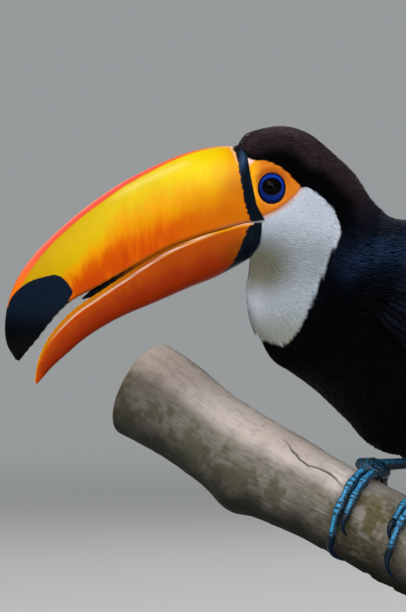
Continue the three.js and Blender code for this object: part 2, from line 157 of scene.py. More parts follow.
def insideDistance(x, z, outline):
    # distance in mm from a closed outline in the side view, positive inside and negative outside
    a = roundRun(outline, 90)
    b = np.roll(a, -1, axis=0)
    run = b - a
    flatX, flatZ = np.ravel(x), np.ravel(z)
    result = np.empty(len(flatX))
    for start in range(0, len(flatX), 20000):
        px = flatX[start : start + 20000, None]
        pz = flatZ[start : start + 20000, None]
        share = ((px - a[:, 0]) * run[:, 0] + (pz - a[:, 1]) * run[:, 1]) / (run**2).sum(1)
        share = np.clip(share, 0, 1)
        away = np.hypot(px - a[:, 0] - share * run[:, 0], pz - a[:, 1] - share * run[:, 1]).min(1)
        crossing = (a[:, 1] > pz) != (b[:, 1] > pz)
        reach = a[:, 0] + (pz - a[:, 1]) / np.where(run[:, 1] == 0, 1e-9, run[:, 1]) * run[:, 0]
        inside = (crossing & (px < reach)).sum(1) % 2 == 1
        result[start : start + 20000] = np.where(inside, away, -away)
    return result.reshape(np.shape(x))


# meshes
def makePiece(name, part, material, replaced=()):
    # a part holds points in mm in the bird's frame, faces of three or four corners, fields with one value
    # or colour a point, maps with one UV place a point, and flat, which faces are shaded flat
    points = part["points"]
    corners = np.concatenate([faces.reshape(-1) for faces in part["faces"]]).astype(np.int32)
    sizes = np.concatenate([np.full(len(faces), faces.shape[1]) for faces in part["faces"]])
    mesh = bpy.data.meshes.new(name)
    mesh.vertices.add(len(points))
    mesh.vertices.foreach_set("co", ((points + birdPlace) * mm).astype(np.float32).ravel())
    mesh.loops.add(len(corners))
    mesh.loops.foreach_set("vertex_index", corners)
    mesh.polygons.add(len(sizes))
    starts = np.concatenate([[0], np.cumsum(sizes)[:-1]]).astype(np.int32)
    mesh.polygons.foreach_set("loop_start", starts)
    mesh.polygons.foreach_set("use_smooth", ~part.get("flat", np.zeros(len(sizes), bool)))
    mesh.update(calc_edges=True)
    for mapName, places in part.get("maps", {}).items():
        layer = mesh.uv_layers.new(name=mapName)
        layer.data.foreach_set("uv", places[corners].astype(np.float32).ravel())
    for fieldName, values in part.get("fields", {}).items():
        if np.ndim(values) == 1:
            field = mesh.attributes.new(fieldName, "FLOAT", "POINT")
            field.data.foreach_set("value", values.astype(np.float32))
        else:
            field = mesh.attributes.new(fieldName, "FLOAT_COLOR", "POINT")
            opaque = np.concatenate([values, np.ones((len(values), 1))], axis=1)
            field.data.foreach_set("color", opaque.astype(np.float32).ravel())
    mesh.materials.append(material)
    piece = bpy.data.objects.new(name, mesh)
    bpy.context.scene.collection.objects.link(piece)
    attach(piece, "root")
    if replaced:
        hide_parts(*replaced)


def tubeFaces(rings):
    # quads between neighbouring rings, and each end a fan to a point added at the ring's middle
    rows, columns = rings.shape[:2]
    i = np.arange(rows * columns).reshape(rows, columns)
    j = np.roll(i, -1, axis=1)
    quads = np.stack([i[:-1], j[:-1], j[1:], i[1:]], axis=-1).reshape(-1, 4)
    first, last = np.full(columns, rows * columns), np.full(columns, rows * columns + 1)
    fans = np.concatenate([np.stack([j[0], i[0], first], -1), np.stack([i[-1], j[-1], last], -1)])
    points = withEnds(rings)
    corner = points[quads]
    volume = (np.cross(corner[:, 0], corner[:, 1]) * corner[:, 2]).sum()
    volume += (np.cross(corner[:, 0], corner[:, 2]) * corner[:, 3]).sum()
    fan = points[fans]
    volume += (np.cross(fan[:, 0], fan[:, 1]) * fan[:, 2]).sum()
    return [quads, fans] if volume > 0 else [quads[:, ::-1], fans[:, ::-1]]


def ringsRound(middles, over, across, high, wide, spin):
    # an oval ring round each middle, high over it and wide across it
    rings = middles + over * (high * np.cos(spin))[..., None]
    return rings + across * (wide * np.sin(spin))[..., None]


def withEnds(values):
    # a ring field laid out flat, with the end rings' middles after it
    flat = values.reshape((-1,) + values.shape[2:])
    return np.concatenate([flat, [values[0].mean(0), values[-1].mean(0)]])


def tubePart(rings, **layers):
    # a closed tube with its layers, fields and maps, each value given for the rings
    part = {"points": withEnds(rings), "faces": tubeFaces(rings)}
    for kind, values in layers.items():
        full = {name: np.broadcast_to(v, rings.shape[:2] + np.shape(v)[2:]) for name, v in values.items()}
        part[kind] = {name: withEnds(v) for name, v in full.items()}
    return part


def joinParts(parts):
    # several sets of points, faces and fields as one
    start, faces = 0, []
    for part in parts:
        faces += [each + start for each in part["faces"]]
        start += len(part["points"])
    joined = {"points": np.concatenate([part["points"] for part in parts]), "faces": faces}
    for kind in ("fields", "maps"):
        names = parts[0].get(kind, {})
        joined[kind] = {n: np.concatenate([part[kind][n] for part in parts]) for n in names}
    return joined


# materials
def newMaterial(name):
    material = bpy.data.materials.new(name)
    material.use_nodes = True
    return material


def setInputs(owner, node, inputs):
    # an input gets a plain value or another node's output, and any other name is a setting of the node
    for key, value in inputs.items():
        if isinstance(value, bpy.types.NodeSocket):
            owner.node_tree.links.new(value, node.inputs[key])
        elif isinstance(key, int) or key in node.inputs:
            node.inputs[key].default_value = value
        else:
            setattr(node, key, value)


def addNode(owner, kind, inputs=None, output=0):
    node = owner.node_tree.nodes.new(kind)
    setInputs(owner, node, inputs or {})
    return node.outputs[output]


def finishWith(material, inputs):
    # the inputs of the material's own shader
    setInputs(material, material.node_tree.nodes["Principled BSDF"], inputs)
    return material


def rgba(hexColour):
    return (*shade(hexColour), 1)


def fieldNode(owner, name, output="Fac"):
    # a value or colour that the mesh holds at each point
    return addNode(owner, "ShaderNodeAttribute", {"attribute_name": name}, output)


def placeNode(owner):
    return addNode(owner, "ShaderNodeTexCoord", output="Object")


def mapNode(owner, place, scale, **more):
    return addNode(owner, "ShaderNodeMapping", {"Vector": place, "Scale": scale} | more)


def cloudNode(owner, place, scale, detail=2.0, **more):
    # soft noise from 0 to 1
    inputs = {"Vector": place, "Scale": scale, "Detail": detail} | more
    return addNode(owner, "ShaderNodeTexNoise", inputs, "Fac")


def cellNode(owner, place, scale):
    # distance from the middle of the nearest of many small cells
    return addNode(owner, "ShaderNodeTexVoronoi", {"Vector": place, "Scale": scale}, "Distance")


def rangeNode(owner, value, between=(0, 1), to=(0, 1), kind="LINEAR"):
    # carries a value from one range to another and keeps it there
    inputs = {"interpolation_type": kind, "Value": value, "From Min": between[0], "From Max": between[1]}
    return addNode(owner, "ShaderNodeMapRange", inputs | {"To Min": to[0], "To Max": to[1]})


def mixNode(owner, share, first, second):
    # two colours, each a hex colour or another node's output, mixed by a share
    first, second = (rgba(each) if isinstance(each, str) else each for each in (first, second))
    return addNode(owner, "ShaderNodeMix", {"data_type": "RGBA", 0: share, 6: first, 7: second}, 2)


def scaleNode(owner, colour, by):
    return addNode(owner, "ShaderNodeVectorMath", {"operation": "SCALE", 0: colour, "Scale": by})


def mathNode(owner, operation, *values):
    return addNode(owner, "ShaderNodeMath", {"operation": operation} | dict(enumerate(values)))


def bumpNode(owner, height, strength, distance):
    # relief in the light only, with the distance in metres
    inputs = {"Height": height, "Strength": strength, "Distance": distance}
    return addNode(owner, "ShaderNodeBump", inputs)


# the body's shape
# Each section: x, z on the back line, x, z on the belly line, half width near the top and the bottom.
bodySections = [
    (-53.5, 359.5, -46.0, 289.5, 18.0, 21.5),  # bill's base
    (-47.5, 367.3, -46.3, 283.5, 21.5, 22.5),  # forehead, chin
    (-36.0, 371.5, -47.3, 276.5, 25.0, 23.5),
    (-22.0, 372.0, -48.8, 268.0, 27.5, 25.5),  # crown
    (-8.0, 366.5, -48.0, 258.0, 29.0, 28.5),
    (6.0, 354.0, -44.5, 246.0, 29.5, 33.5),  # nape, breast
    (18.0, 341.0, -39.0, 235.0, 31.5, 39.0),
    (29.0, 325.5, -31.0, 224.5, 38.0, 45.0),  # neck's root
    (44.0, 315.0, -18.0, 217.5, 44.0, 50.0),
    (64.0, 314.5, 2.0, 205.0, 48.0, 53.0),  # shoulders
    (88.0, 310.0, 24.0, 187.0, 49.0, 54.0),
    (113.0, 301.0, 46.0, 168.5, 47.0, 52.0),
    (140.0, 286.0, 84.0, 166.0, 42.0, 46.0),
    (164.0, 269.0, 118.0, 168.0, 35.0, 39.0),
    (185.0, 252.0, 150.0, 175.0, 28.0, 31.0),  # rump, vent
    (203.0, 237.0, 176.0, 180.5, 24.5, 26.0),
    (219.0, 224.0, 200.0, 185.5, 22.5, 22.5),
    (234.0, 211.0, 222.0, 189.5, 21.0, 20.0),  # tail coverts end
]
lastSection = len(bodySections) - 1
trunk = {"turn": 30, "turnEnd": 60, "nape": (29, 325), "neckSlope": 24.5}
# How deep the coat lies over the skin at each section, and over the wing and the thigh, mm.
coatOver = {"wing": 2.2, "thigh": 2.6}
coatDepths = (0.9, 1.2, 1.5, 1.6, 1.8, 2.1, 2.5, 3, 3.4, 3.6, 3.6, 3.6, 3.6, 3.6, 3.4, 3, 2.6, 2.4)


def turned(points):
    # turns a point about the upright axis, not at all in the head and by 30 degrees behind the neck
    slant = math.radians(trunk["neckSlope"])
    behind = (points[..., 0] - trunk["nape"][0]) * math.sin(slant)
    behind = behind - (points[..., 2] - trunk["nape"][1]) * math.cos(slant)
    angle = math.radians(trunk["turn"]) * ease(behind, 0, trunk["turnEnd"])
    x = points[..., 0] * np.cos(angle) - points[..., 1] * np.sin(angle)
    y = points[..., 0] * np.sin(angle) + points[..., 1] * np.cos(angle)
    return np.stack([x, y, points[..., 2]], axis=-1)


def heightAt(turn):
    # 1 on the back line, 0 half way down each side and -1 on the belly line
    return np.cos(2 * np.pi * turn)


def bodyPoint(section, turn, grow=0.0):
    # an egg-shaped ring between the back and belly points of its section: height = cos, width = sin,
    # and grow moves the point out along the ring's own normal; turn runs from the back over the right;
    # a section under 0 is the first ring carried on over the bill
    section, turn, grow = np.broadcast_arrays(section, turn, grow)
    figures = np.moveaxis(smoothRun(bodySections, section), -1, 0)
    backX, backZ, bellyX, bellyZ, top, low = figures
    height, side = heightAt(turn), np.sin(2 * np.pi * turn)
    tall = np.hypot(backX - bellyX, backZ - bellyZ)
    riseX, riseZ = (backX - bellyX) / tall, (backZ - bellyZ) / tall
    wide = mix(low, top, (height + 1) / 2)
    outward = unit(np.stack([riseX * height * 2 / tall, side / wide, riseZ * height * 2 / tall], -1))
    x = (backX + bellyX) / 2 + riseX * tall / 2 * height + np.minimum(section, 0) * 12
    y = wide * np.sign(side) * np.abs(side) ** 0.92
    z = (backZ + bellyZ) / 2 + riseZ * tall / 2 * height
    return turned(np.stack([x, y, z], axis=-1) + outward * grow[..., None])


def headSide(x, z):
    # the head's half width at a place in its side view: the section whose line passes through it is
    # found, then its ring gives the width; returns section, turn and half width
    x, z = np.broadcast_arrays(np.asarray(x, float), np.asarray(z, float))
    sections = np.linspace(0, 8, 500)
    rows = smoothRun(bodySections, sections)
    riseX, riseZ = rows[:, 0] - rows[:, 2], rows[:, 1] - rows[:, 3]
    away = riseX * (z[..., None] - rows[:, 3]) - riseZ * (x[..., None] - rows[:, 2])
    nearest = np.clip(np.abs(away).argmin(-1), 1, len(sections) - 2)
    pick = lambda step: np.take_along_axis(away, (nearest + step)[..., None], -1)[..., 0]
    slope = pick(1) - pick(-1)
    shift = np.clip(-pick(0) / np.where(np.abs(slope) < 1e-9, 1e-9, slope) * 2, -1, 1)
    section = sections[nearest] + shift * (sections[1] - sections[0])
    row = smoothRun(bodySections, section)
    rise = row[..., 0:2] - row[..., 2:4]
    share = ((x - row[..., 2]) * rise[..., 0] + (z - row[..., 3]) * rise[..., 1]) / (rise**2).sum(-1)
    height = np.clip(share * 2 - 1, -1, 1)
    turn = np.arccos(height) / (2 * np.pi)
    wide = mix(row[..., 5], row[..., 4], (height + 1) / 2)
    return section, turn, wide * np.sqrt(1 - height**2) ** 0.92


# markings, one set for skin and coat
# Outlines in the side view, x and z in mm.
markings = {
    "pale": [  # the bib with the bare skin round the eye
        (-50.0, 348.0), (-44.6, 347.0), (-36.0, 345.5), (-27.0, 341.0), (-20.5, 334.8), (-16.2, 333.5),
        (-8.3, 332.0), (0.4, 324.4), (6.1, 317.4), (8.7, 309.3), (6.9, 303.0), (3.1, 293.2), (0.2, 287.2),
        (-2.8, 277.4), (-6.7, 268.5), (-9.7, 259.6), (-14.6, 249.8), (-19.4, 242.4), (-26.1, 236.7),
        (-33.0, 238.2), (-41.5, 241.4), (-60.0, 247.0), (-75.0, 300.0), (-62.0, 345.0),
    ],
    "bare": [  # the bare orange skin round the eye
        (-49.5, 351.6), (-44.2, 350.4), (-35.3, 349.6), (-25.2, 344.0), (-18.6, 336.9), (-15.9, 333.2),
        (-21.5, 326.2), (-30.5, 319.2), (-38.2, 315.8), (-44.0, 313.4), (-52.0, 325.0), (-54.0, 343.0),
    ],
    "horn": [  # what the black-edged foot of the bill covers
        (-56.5, 359.6), (-52.7, 356.8), (-48.5, 353.5), (-45.7, 337.3), (-42.8, 323.0), (-39.1, 315.9),
        (-38.6, 310.0), (-40.6, 299.4), (-45.0, 292.7), (-49.0, 288.0), (-75.0, 285.0), (-85.0, 340.0),
    ],
}
plumageColours = shades({
    "white": "#eff5ff", "cream": "#b9bba6", "grey": "#b9c2c8", "shaded": "#757044",
    "pink": "#f0a880", "rosy": "#ecc8bc", "orange": "#cb6e02", "deepOrange": "#a85202",
    "yellow": "#f0a802", "crown": "#3a2d31", "crownTop": "#54464d", "black": "#030407",
    "blueBlack": "#1c2d46", "crimson": "#a8141c",
})


def sideView(section, turn):
    # where a root shows in the side view, both sides alike
    point = bodyPoint(section, np.where(turn % 1 < 0.5, 1 - turn % 1, turn % 1))
    return point[..., 0], point[..., 2]


def paintedBlueSheen(x, z):
    # painted sheen: soft blue along the mantle, over the shoulder, where light glances off the glossy black
    ridge = 283 + 9 * ease(x, 12, 34)
    return bell(z, ridge, np.where(z > ridge, 13, 9)) * ease(x, 2, 20) * ease(x, 110, 70)


def plumageAt(section, turn):
    # the colour of skin and coat at a root, and how bare the skin is there
    colours = plumageColours
    x, z = sideView(section, turn)
    height = heightAt(turn)
    spot = np.stack([x, z, section * 9.0], axis=-1)
    wander = noise(spot, 5.0, 3) * 0.6
    # the bib ends 7 mm higher on the right side, as the head is turned a little to the left
    level = z - 7 * ease(np.sin(2 * np.pi * turn), 0.02, 0.3) * ease(z, 266, 248)
    pale = ease(insideDistance(x, level, markings["pale"]) + wander, -0.5, 0.5)
    bareDepth = insideDistance(x, z, markings["bare"])
    bare = ease(bareDepth, -0.4, 0.4)
    # the crown is warm brown on top, lighter still on its very top by painted light from above, and black
    # along its lower border and where the neck meets the mantle
    fromFace = -np.maximum(insideDistance(x, z, markings["pale"]), bareDepth)
    border = mix(0.5, 8, ease(x, -44, -16)) + wander * 2
    crown = ease(fromFace - border, 0, 11) * ease(section - height * 1.2, 7.0, 5.0) * ease(height, -0.3, 0.5)
    onTop = ease(height, 0.84, 0.96) * ease(section, 1.2, 2.4) * ease(section, 4.6, 3.4)
    # painted sheen as well: a faint blue over the mantle's upper side
    mantle = ease(section, 6.2, 8.2) * ease(section, 12.0, 8.8) * ease(height, -0.1, 0.55)
    dark = painted(colours, "black", [
        ("crown", crown),
        ("crownTop", onTop),
        ("blueBlack", np.maximum(mantle * 0.35, paintedBlueSheen(x, z))),
    ])
    # the bib: cool white on the cheek, greyed below it by painted shade, whitened again towards its front and
    # lower down, cream at its lower end, a yellowish tint darkened by painted shade, and olive in a painted
    # shadow of the bill under the bill
    underBillShade = ease(np.hypot((x + 39) / 27, (z - 284) / 24), 1.0, 0.2)
    white = painted(colours, "white", [
        ("grey", ease(z + x * 0.2, 314, 288)),
        ("white", ease(x, -34, -43) * ease(z, 282, 266) * 0.5),
        ("white", ease(z, 284, 268) * 0.24),
        ("cream", ease(z, 262, 238) * 0.8),
        ("shaded", underBillShade * 0.8),
        ("pink", ease(bareDepth, -3.2, 0) * ease(x, -44, -38) * 0.75),
    ])
    # the bare skin: orange, yellow at the bill, deepened by painted shade towards its lower edge and over the
    # eye, with a thin painted highlight along the blue ring's lower side
    fromEye = np.hypot(x - eye["x"], (z - eye["z"]) * 0.92)
    frontPatch = ease(z - x, 393.4, 395.0) * ease(z, 344.5, 347)  # small white triangle
    orange = painted(colours, "orange", [
        ("yellow", ease(x, -38, -46) * 0.9),
        ("deepOrange", ease(bareDepth, 3.2, 0.3) * ease(z, 333, 318) * 0.7),
        ("deepOrange", ease(fromEye, 13, 9.2) * ease(z, 332, 341) * 0.9),
        # painted highlight: a thin yellow line under the blue ring
        ("yellow", bell(fromEye, 10.2, 0.8) * ease(z, 330, 322) * 0.15),
        ("rosy", frontPatch),
    ])
    rump = ease(section, 14.0, 14.4) * ease(height, 0.25, 0.4)
    vent = ease(section, 14.2, 14.6) * ease(height, -0.1, -0.3)
    colour = painted(colours, dark, [(white, pale), (orange, bare), ("white", rump), ("crimson", vent)])
    return colour, bare, pale


# skin: one surface over head, neck, trunk, wings and thighs
def coatDepth(section):
    return smoothRun(coatDepths, section)


# The folded wing: section of the body, height of its upper and lower edge, thickness in mm.
wingSections = np.array([
    (7.3, 0.42, 0.1, 2.0),  # wrist
    (7.9, 0.74, -0.2, 5.5),
    (9.0, 0.86, -0.36, 7.5),
    (10.5, 0.87, -0.42, 7.5),
    (12.0, 0.86, -0.32, 6.5),
    (13.5, 0.84, -0.1, 5.5),
    (15.0, 0.8, 0.18, 4.5),
    (16.0, 0.74, 0.36, 3.5),
    (16.7, 0.66, 0.52, 2.5),  # tips of the flight feathers
])


def wingPoint(place, down, grow=0.0, sign=1):
    # the wing's outer face: down runs from its upper edge to its lower one, and it swells between them
    place, down, grow = np.broadcast_arrays(place, down, grow)
    asTurns = wingSections.copy()
    asTurns[:, 1:3] = np.arccos(wingSections[:, 1:3]) / (2 * np.pi)
    along, upper, lower, thick = np.moveaxis(smoothRun(asTurns, place), -1, 0)
    bulge = np.sin(np.clip(down, 0, 1) * np.pi) ** 0.5
    return bodyPoint(along, sign * mix(upper, lower, down), 1.2 + thick * bulge + grow)


branch = {"slope": 24, "swing": 30, "crossing": (38, 22, 118.2), "ahead": 196, "behind": 106}
branch |= {"radius": 27.8, "frontSwell": 4.5, "lift": 9}
fall, swing = math.radians(branch["slope"]), math.radians(branch["swing"])
branchRun = np.array([math.cos(fall) * math.cos(swing), -math.cos(fall) * math.sin(swing), -math.sin(fall)])
branchUp = unit(np.array([0, 0, 1]) + branchRun * math.sin(fall))
branchFront = np.cross(branchRun, branchUp)


def branchPoint(along, angle, lift=0.0):
    # the branch is a bowed tube that thickens to its front end, with one knot; angle is from its top
    radius = branch["radius"] + branch["frontSwell"] * ease(-along, 20, branch["ahead"]) + lift
    radius = radius + 1.1 * ease(np.abs(along), 48, 90) * np.sin(angle * 2 + along * 0.05)
    radius = radius + 4.5 * bell(along, -104, 14) * np.maximum(0, np.cos(angle - 2.6))
    bow = branch["lift"] * ease(-along, 100, 190)
    up, front = (radius * np.cos(angle) + bow)[..., None], (radius * np.sin(angle))[..., None]
    along = np.broadcast_to(along, up.shape[:-1])[..., None]
    return np.array(branch["crossing"]) + along * branchRun + up * branchUp + front * branchFront


legs = {  # place along the branch and the angle its grip is turned back by
    "right": {"sign": 1, "along": -24.0, "roll": 0.0},
    "left": {"sign": -1, "along": 12.0, "roll": 20.0},
}
leg = {"pad": (12.5, 9.0, 5.6), "tarsus": 47.0, "ankleHeight": 162.0, "thigh": (62, 22, 190), "clear": 0.6}
thighRadii = (18.0, 9.5)
for each in legs.values():
    angle = np.array(-math.radians(each["roll"]))
    each["foot"] = branchPoint(np.array(each["along"]), angle, leg["pad"][2] + leg["clear"])
    rise = leg["ankleHeight"] - each["foot"][2]
    back = np.array([math.cos(math.radians(trunk["turn"])), math.sin(math.radians(trunk["turn"])), 0])
    each["ankle"] = each["foot"] + back * math.sqrt(leg["tarsus"] ** 2 - rise**2) + (0, 0, rise)
    top = np.array([leg["thigh"][0], each["sign"] * leg["thigh"][1], leg["thigh"][2]], float)
    each["thigh"] = turned(top)


def thighPoint(side, place, turn, grow=0.0):
    # a tapering tube from inside the belly to the ankle, a little full in the middle
    place, turn, grow = np.broadcast_arrays(place, turn, grow)
    start, end = legs[side]["thigh"], legs[side]["ankle"]
    run = unit(end - start)
    across = unit(np.cross((0, 0, 1), run))
    over = np.cross(run, across)
    radius = (mix(thighRadii[0], thighRadii[1], place) + grow)[..., None]
    spin = turn[..., None] * 2 * np.pi
    return mix(start, end, place[..., None]) + radius * (across * np.cos(spin) + over * np.sin(spin))


skinMesh = {"head": 190, "body": 100, "around": 240, "wing": (60, 24), "thigh": (24, 40)}


def makeSkin():
    # the body's rings lie under the coat's outline by the coat's depth, and the bare skin at its own
    # height, with wrinkles and a fold round the eye; each wing and thigh is a closed tube of its own
    toNeck = np.linspace(0, 5, skinMesh["head"])[:-1]
    sections = np.concatenate([toNeck, np.linspace(5, lastSection, skinMesh["body"])])[:, None]
    turns = onceRound(skinMesh["around"]) / (2 * np.pi)
    colour, bare, _ = plumageAt(*np.broadcast_arrays(sections, turns))
    inset = mix(coatDepth(sections), 0.15, bare)
    x, z = sideView(*np.broadcast_arrays(sections, turns))
    fromEye = np.hypot(x - eye["x"], (z - eye["z"]) * 0.9)
    fold = 0.5 * bell(fromEye, 11.5, 1.6) - 0.5 * bell(fromEye, 9.4, 0.8)
    rings = bodyPoint(sections, turns, -inset)
    wrinkle = noise(rings, 1.6, 11) * 0.10 + noise(rings, 4.0, 12) * 0.12
    socket = 5.0 * ease(fromEye, 8.4, 6.2)  # the skin runs in under the eyelid
    rings = bodyPoint(sections, turns, -inset + (fold + wrinkle) * bare - socket)
    parts = [tubePart(rings, fields={"plumage": colour, "bare": bare})]
    others = []
    for sign in (1, -1):
        place = np.linspace(0.6, 7.7, skinMesh["wing"][0])[:, None]
        down = np.linspace(0.04, 0.96, skinMesh["wing"][1])[None]
        inset = coatOver["wing"] + 3 * ease(place, 2.6, 0.9)
        outer, inner = wingPoint(place, down, -inset, sign), wingPoint(place, 1 - down, -9.0, sign)
        others.append(np.concatenate([outer, inner], axis=1))
    for side in legs:
        place, turns = np.linspace(0, 0.97, skinMesh["thigh"][0])[:, None], onceRound(skinMesh["thigh"][1])
        others.append(thighPoint(side, place, turns / (2 * np.pi), -coatOver["thigh"]))
    dark = {"plumage": plumageColours["black"][None, None], "bare": np.zeros((1, 1))}
    return joinParts(parts + [tubePart(rings, fields=dark) for rings in others])


# bare skin and the short-feathered skin under the coat: soft, slightly shiny where it is bare
def skinMaterial():
    paint = newMaterial("bird skin, bare and waxy round the eye")
    place = placeNode(paint)
    mottle = rangeNode(paint, cloudNode(paint, place, 260.0, 4.0), to=(0.82, 1.12))
    return finishWith(paint, {
        "Base Color": scaleNode(paint, fieldNode(paint, "plumage", "Color"), mottle),
        "Roughness": rangeNode(paint, fieldNode(paint, "bare"), to=(0.95, 0.5)),
        "Normal": bumpNode(paint, cellNode(paint, place, 1400.0), 0.35, 0.0002),
        "Specular IOR Level": 0.12,
        "Subsurface Weight": 0.1,
        "Subsurface Radius": (0.004, 0.0015, 0.0006),
        "Subsurface Scale": 0.4,
    })


fleshNodes = ["head", "neck", "trunk", "wing_left", "wing_right", "thigh_left", "thigh_right"]
makePiece("skin", makeSkin(), skinMaterial(), fleshNodes)
print("skin made")


# bill
# Each section: x, z on the ridge (or keel), x, z on the cutting edge, half width.
billShapes = {
    "upper": {
        "sections": [
            (-54.4, 359.1, -49.3, 311.9, 20.8),  # base
            (-66.0, 359.5, -60.0, 309.0, 20.3),
            (-84.0, 355.9, -79.0, 303.4, 19.4),
            (-104.0, 348.2, -98.6, 295.8, 18.2),
            (-126.0, 337.2, -119.2, 284.6, 16.8),
            (-148.0, 322.0, -139.8, 272.8, 15.0),
            (-168.0, 305.0, -155.5, 264.6, 13.0),
            (-183.0, 289.2, -164.5, 257.0, 11.4),
            (-193.2, 272.5, -172.4, 247.6, 9.4),
            (-198.2, 254.0, -179.3, 238.6, 7.2),
            (-197.6, 238.0, -185.5, 231.4, 4.6),
            (-192.0, 227.2, -189.6, 226.4, 1.6),  # tip
        ],
        "ridgeSharp": 0.87,
        "sideFull": 1.0,
        "foot": [(-37.6, 313.2), (-39.1, 315.9), (-42.8, 323), (-45.7, 337.3), (-48.5, 353.5),
                 (-51.8, 357.2), (-54.2, 359.3)],  # the black foot's rear edge, from mouth to ridge
        "palate": 4.0,  # the inner face is hollowed by this much
        "notch": 0.45,  # depth of the cutting edge's notches
        "footProud": 0.55,  # how far the foot stands over the head
        "flare": 0.0,  # how much the sides widen to the base, as a share
    },
    "lower": {
        "sections": [
            (-47.0, 290.0, -49.3, 311.5, 20.4),  # base
            (-56.0, 284.6, -60.0, 308.6, 20.0),
            (-67.6, 278.4, -76.0, 303.8, 19.2),
            (-86.0, 271.0, -98.6, 295.1, 17.4),
            (-108.0, 261.5, -119.2, 282.7, 15.2),
            (-130.0, 252.0, -139.8, 269.2, 12.7),
            (-148.0, 240.8, -154.6, 259.2, 10.6),
            (-159.5, 231.2, -165.6, 248.4, 8.6),
            (-168.0, 223.8, -173.0, 238.0, 6.8),
            (-174.5, 216.6, -178.0, 226.0, 4.6),
            (-178.6, 212.0, -180.0, 213.6, 1.4),  # tip
        ],
        "ridgeSharp": 0.9,
        "sideFull": 0.9,
        "foot": [(-39.4, 311.9), (-39.6, 306), (-40.5, 299.4), (-43.0, 295), (-45.3, 292.4), (-46.6, 290)],
        "palate": 4.0,
        "notch": 0.25,
        "footProud": 0.5,
        "flare": 0.12,
        "ledge": (0.9, 0.9, 1.2, 2.4, 3.2, 4.3, 4.7, 4.4, 3.6, 2.4, 1.0),  # height of the rim by section
    },
}
billMarks = {
    "band": {  # the black foot of each half
        "upper": [(-57.6, 361.0), (-54.8, 353.0), (-52.8, 341.0), (-50.8, 328.0), (-48.6, 318.4),
                  (-45.6, 312.8), (-41.0, 308.0), (-34.0, 310.0), (-36.0, 330.0), (-44.0, 362.0)],
        "lower": [(-43.5, 315.0), (-46.9, 310.0), (-50.0, 303.4), (-53.4, 295.0), (-58.2, 286.2),
                  (-64.8, 278.8), (-68.0, 272.0), (-50.0, 276.0), (-34.0, 290.0), (-32.0, 314.0)],
    },
    "spot": [  # the black spot at the upper half's tip
        (-198.2, 257.8), (-194.8, 265.0), (-189.8, 270.9), (-182.5, 275.8), (-173.7, 278.6),
        (-166.3, 279.8), (-161.0, 276.8), (-157.0, 271.8), (-156.0, 268.2), (-158.6, 263.4),
        (-161.0, 256.0), (-176.0, 232.0), (-190.0, 216.0), (-204.0, 226.0), (-208.0, 248.0),
    ],
}


billMesh = {"side": 52, "face": 9, "along": 260, "foot": 16}  # how many corners and rings
cuttingEdge = {"pitch": 5.2, "fade": 2.5}  # distance between its notches and their reach up the side, mm


def mandibleSection(shape):
    # a section's height over the cutting edge and its width as shares: a rounded side from the ridge to
    # the edge, height = cos^ridgeSharp and width = sin^sideFull of a quarter turn, then an inner face, 0
    # to 1 in face from the edge to its middle, then the mirror of both
    quarter = np.linspace(0, np.pi / 2, billMesh["side"])
    inward = np.linspace(1, 0, billMesh["face"])[1:]
    height = np.concatenate([np.cos(quarter[:-1]) ** shape["ridgeSharp"], np.zeros(billMesh["face"])])
    width = np.concatenate([np.sin(quarter) ** shape["sideFull"], inward])
    face = np.concatenate([np.zeros(billMesh["side"]), 1 - inward**2])
    height, face = (np.concatenate([values, values[-2:0:-1]]) for values in (height, face))
    return height, np.concatenate([width, -width[-2:0:-1]]), face


def mandibleFoot(shape, base, width, face):
    # rings that run back from the bill's base over the head's sides to the foot's own rear edge, where a
    # lip turns in; back is 1 at the rear edge and falls to 0 at the base
    foot = np.array(sorted(shape["foot"], key=lambda place: place[1]))
    rearZ = np.where(face > 0, shape["foot"][0][1], np.clip(base[:, 2], foot[0, 1], foot[-1, 1]))
    rear = np.stack([np.interp(rearZ, foot[:, 1], foot[:, 0]), rearZ], axis=-1)
    back = np.linspace(1, 0, billMesh["foot"] + 1)[:-1, None]
    place = mix(base[None, :, [0, 2]], rear[None], back[..., None])
    headWide = headSide(place[..., 0], place[..., 1])[2] + shape["footProud"]
    baseWide = np.abs(base[None, :, 1])
    side = np.maximum(mix(baseWide, headWide, back), mix(baseWide, headWide, ease(back, 0, 0.4)))
    side = np.where(face > 0, width * headWide, np.sign(width) * side)
    rings = np.stack([place[..., 0], side, place[..., 1]], axis=-1)
    return np.concatenate([rings[:1] * (1, 0.93, 1), rings]), back


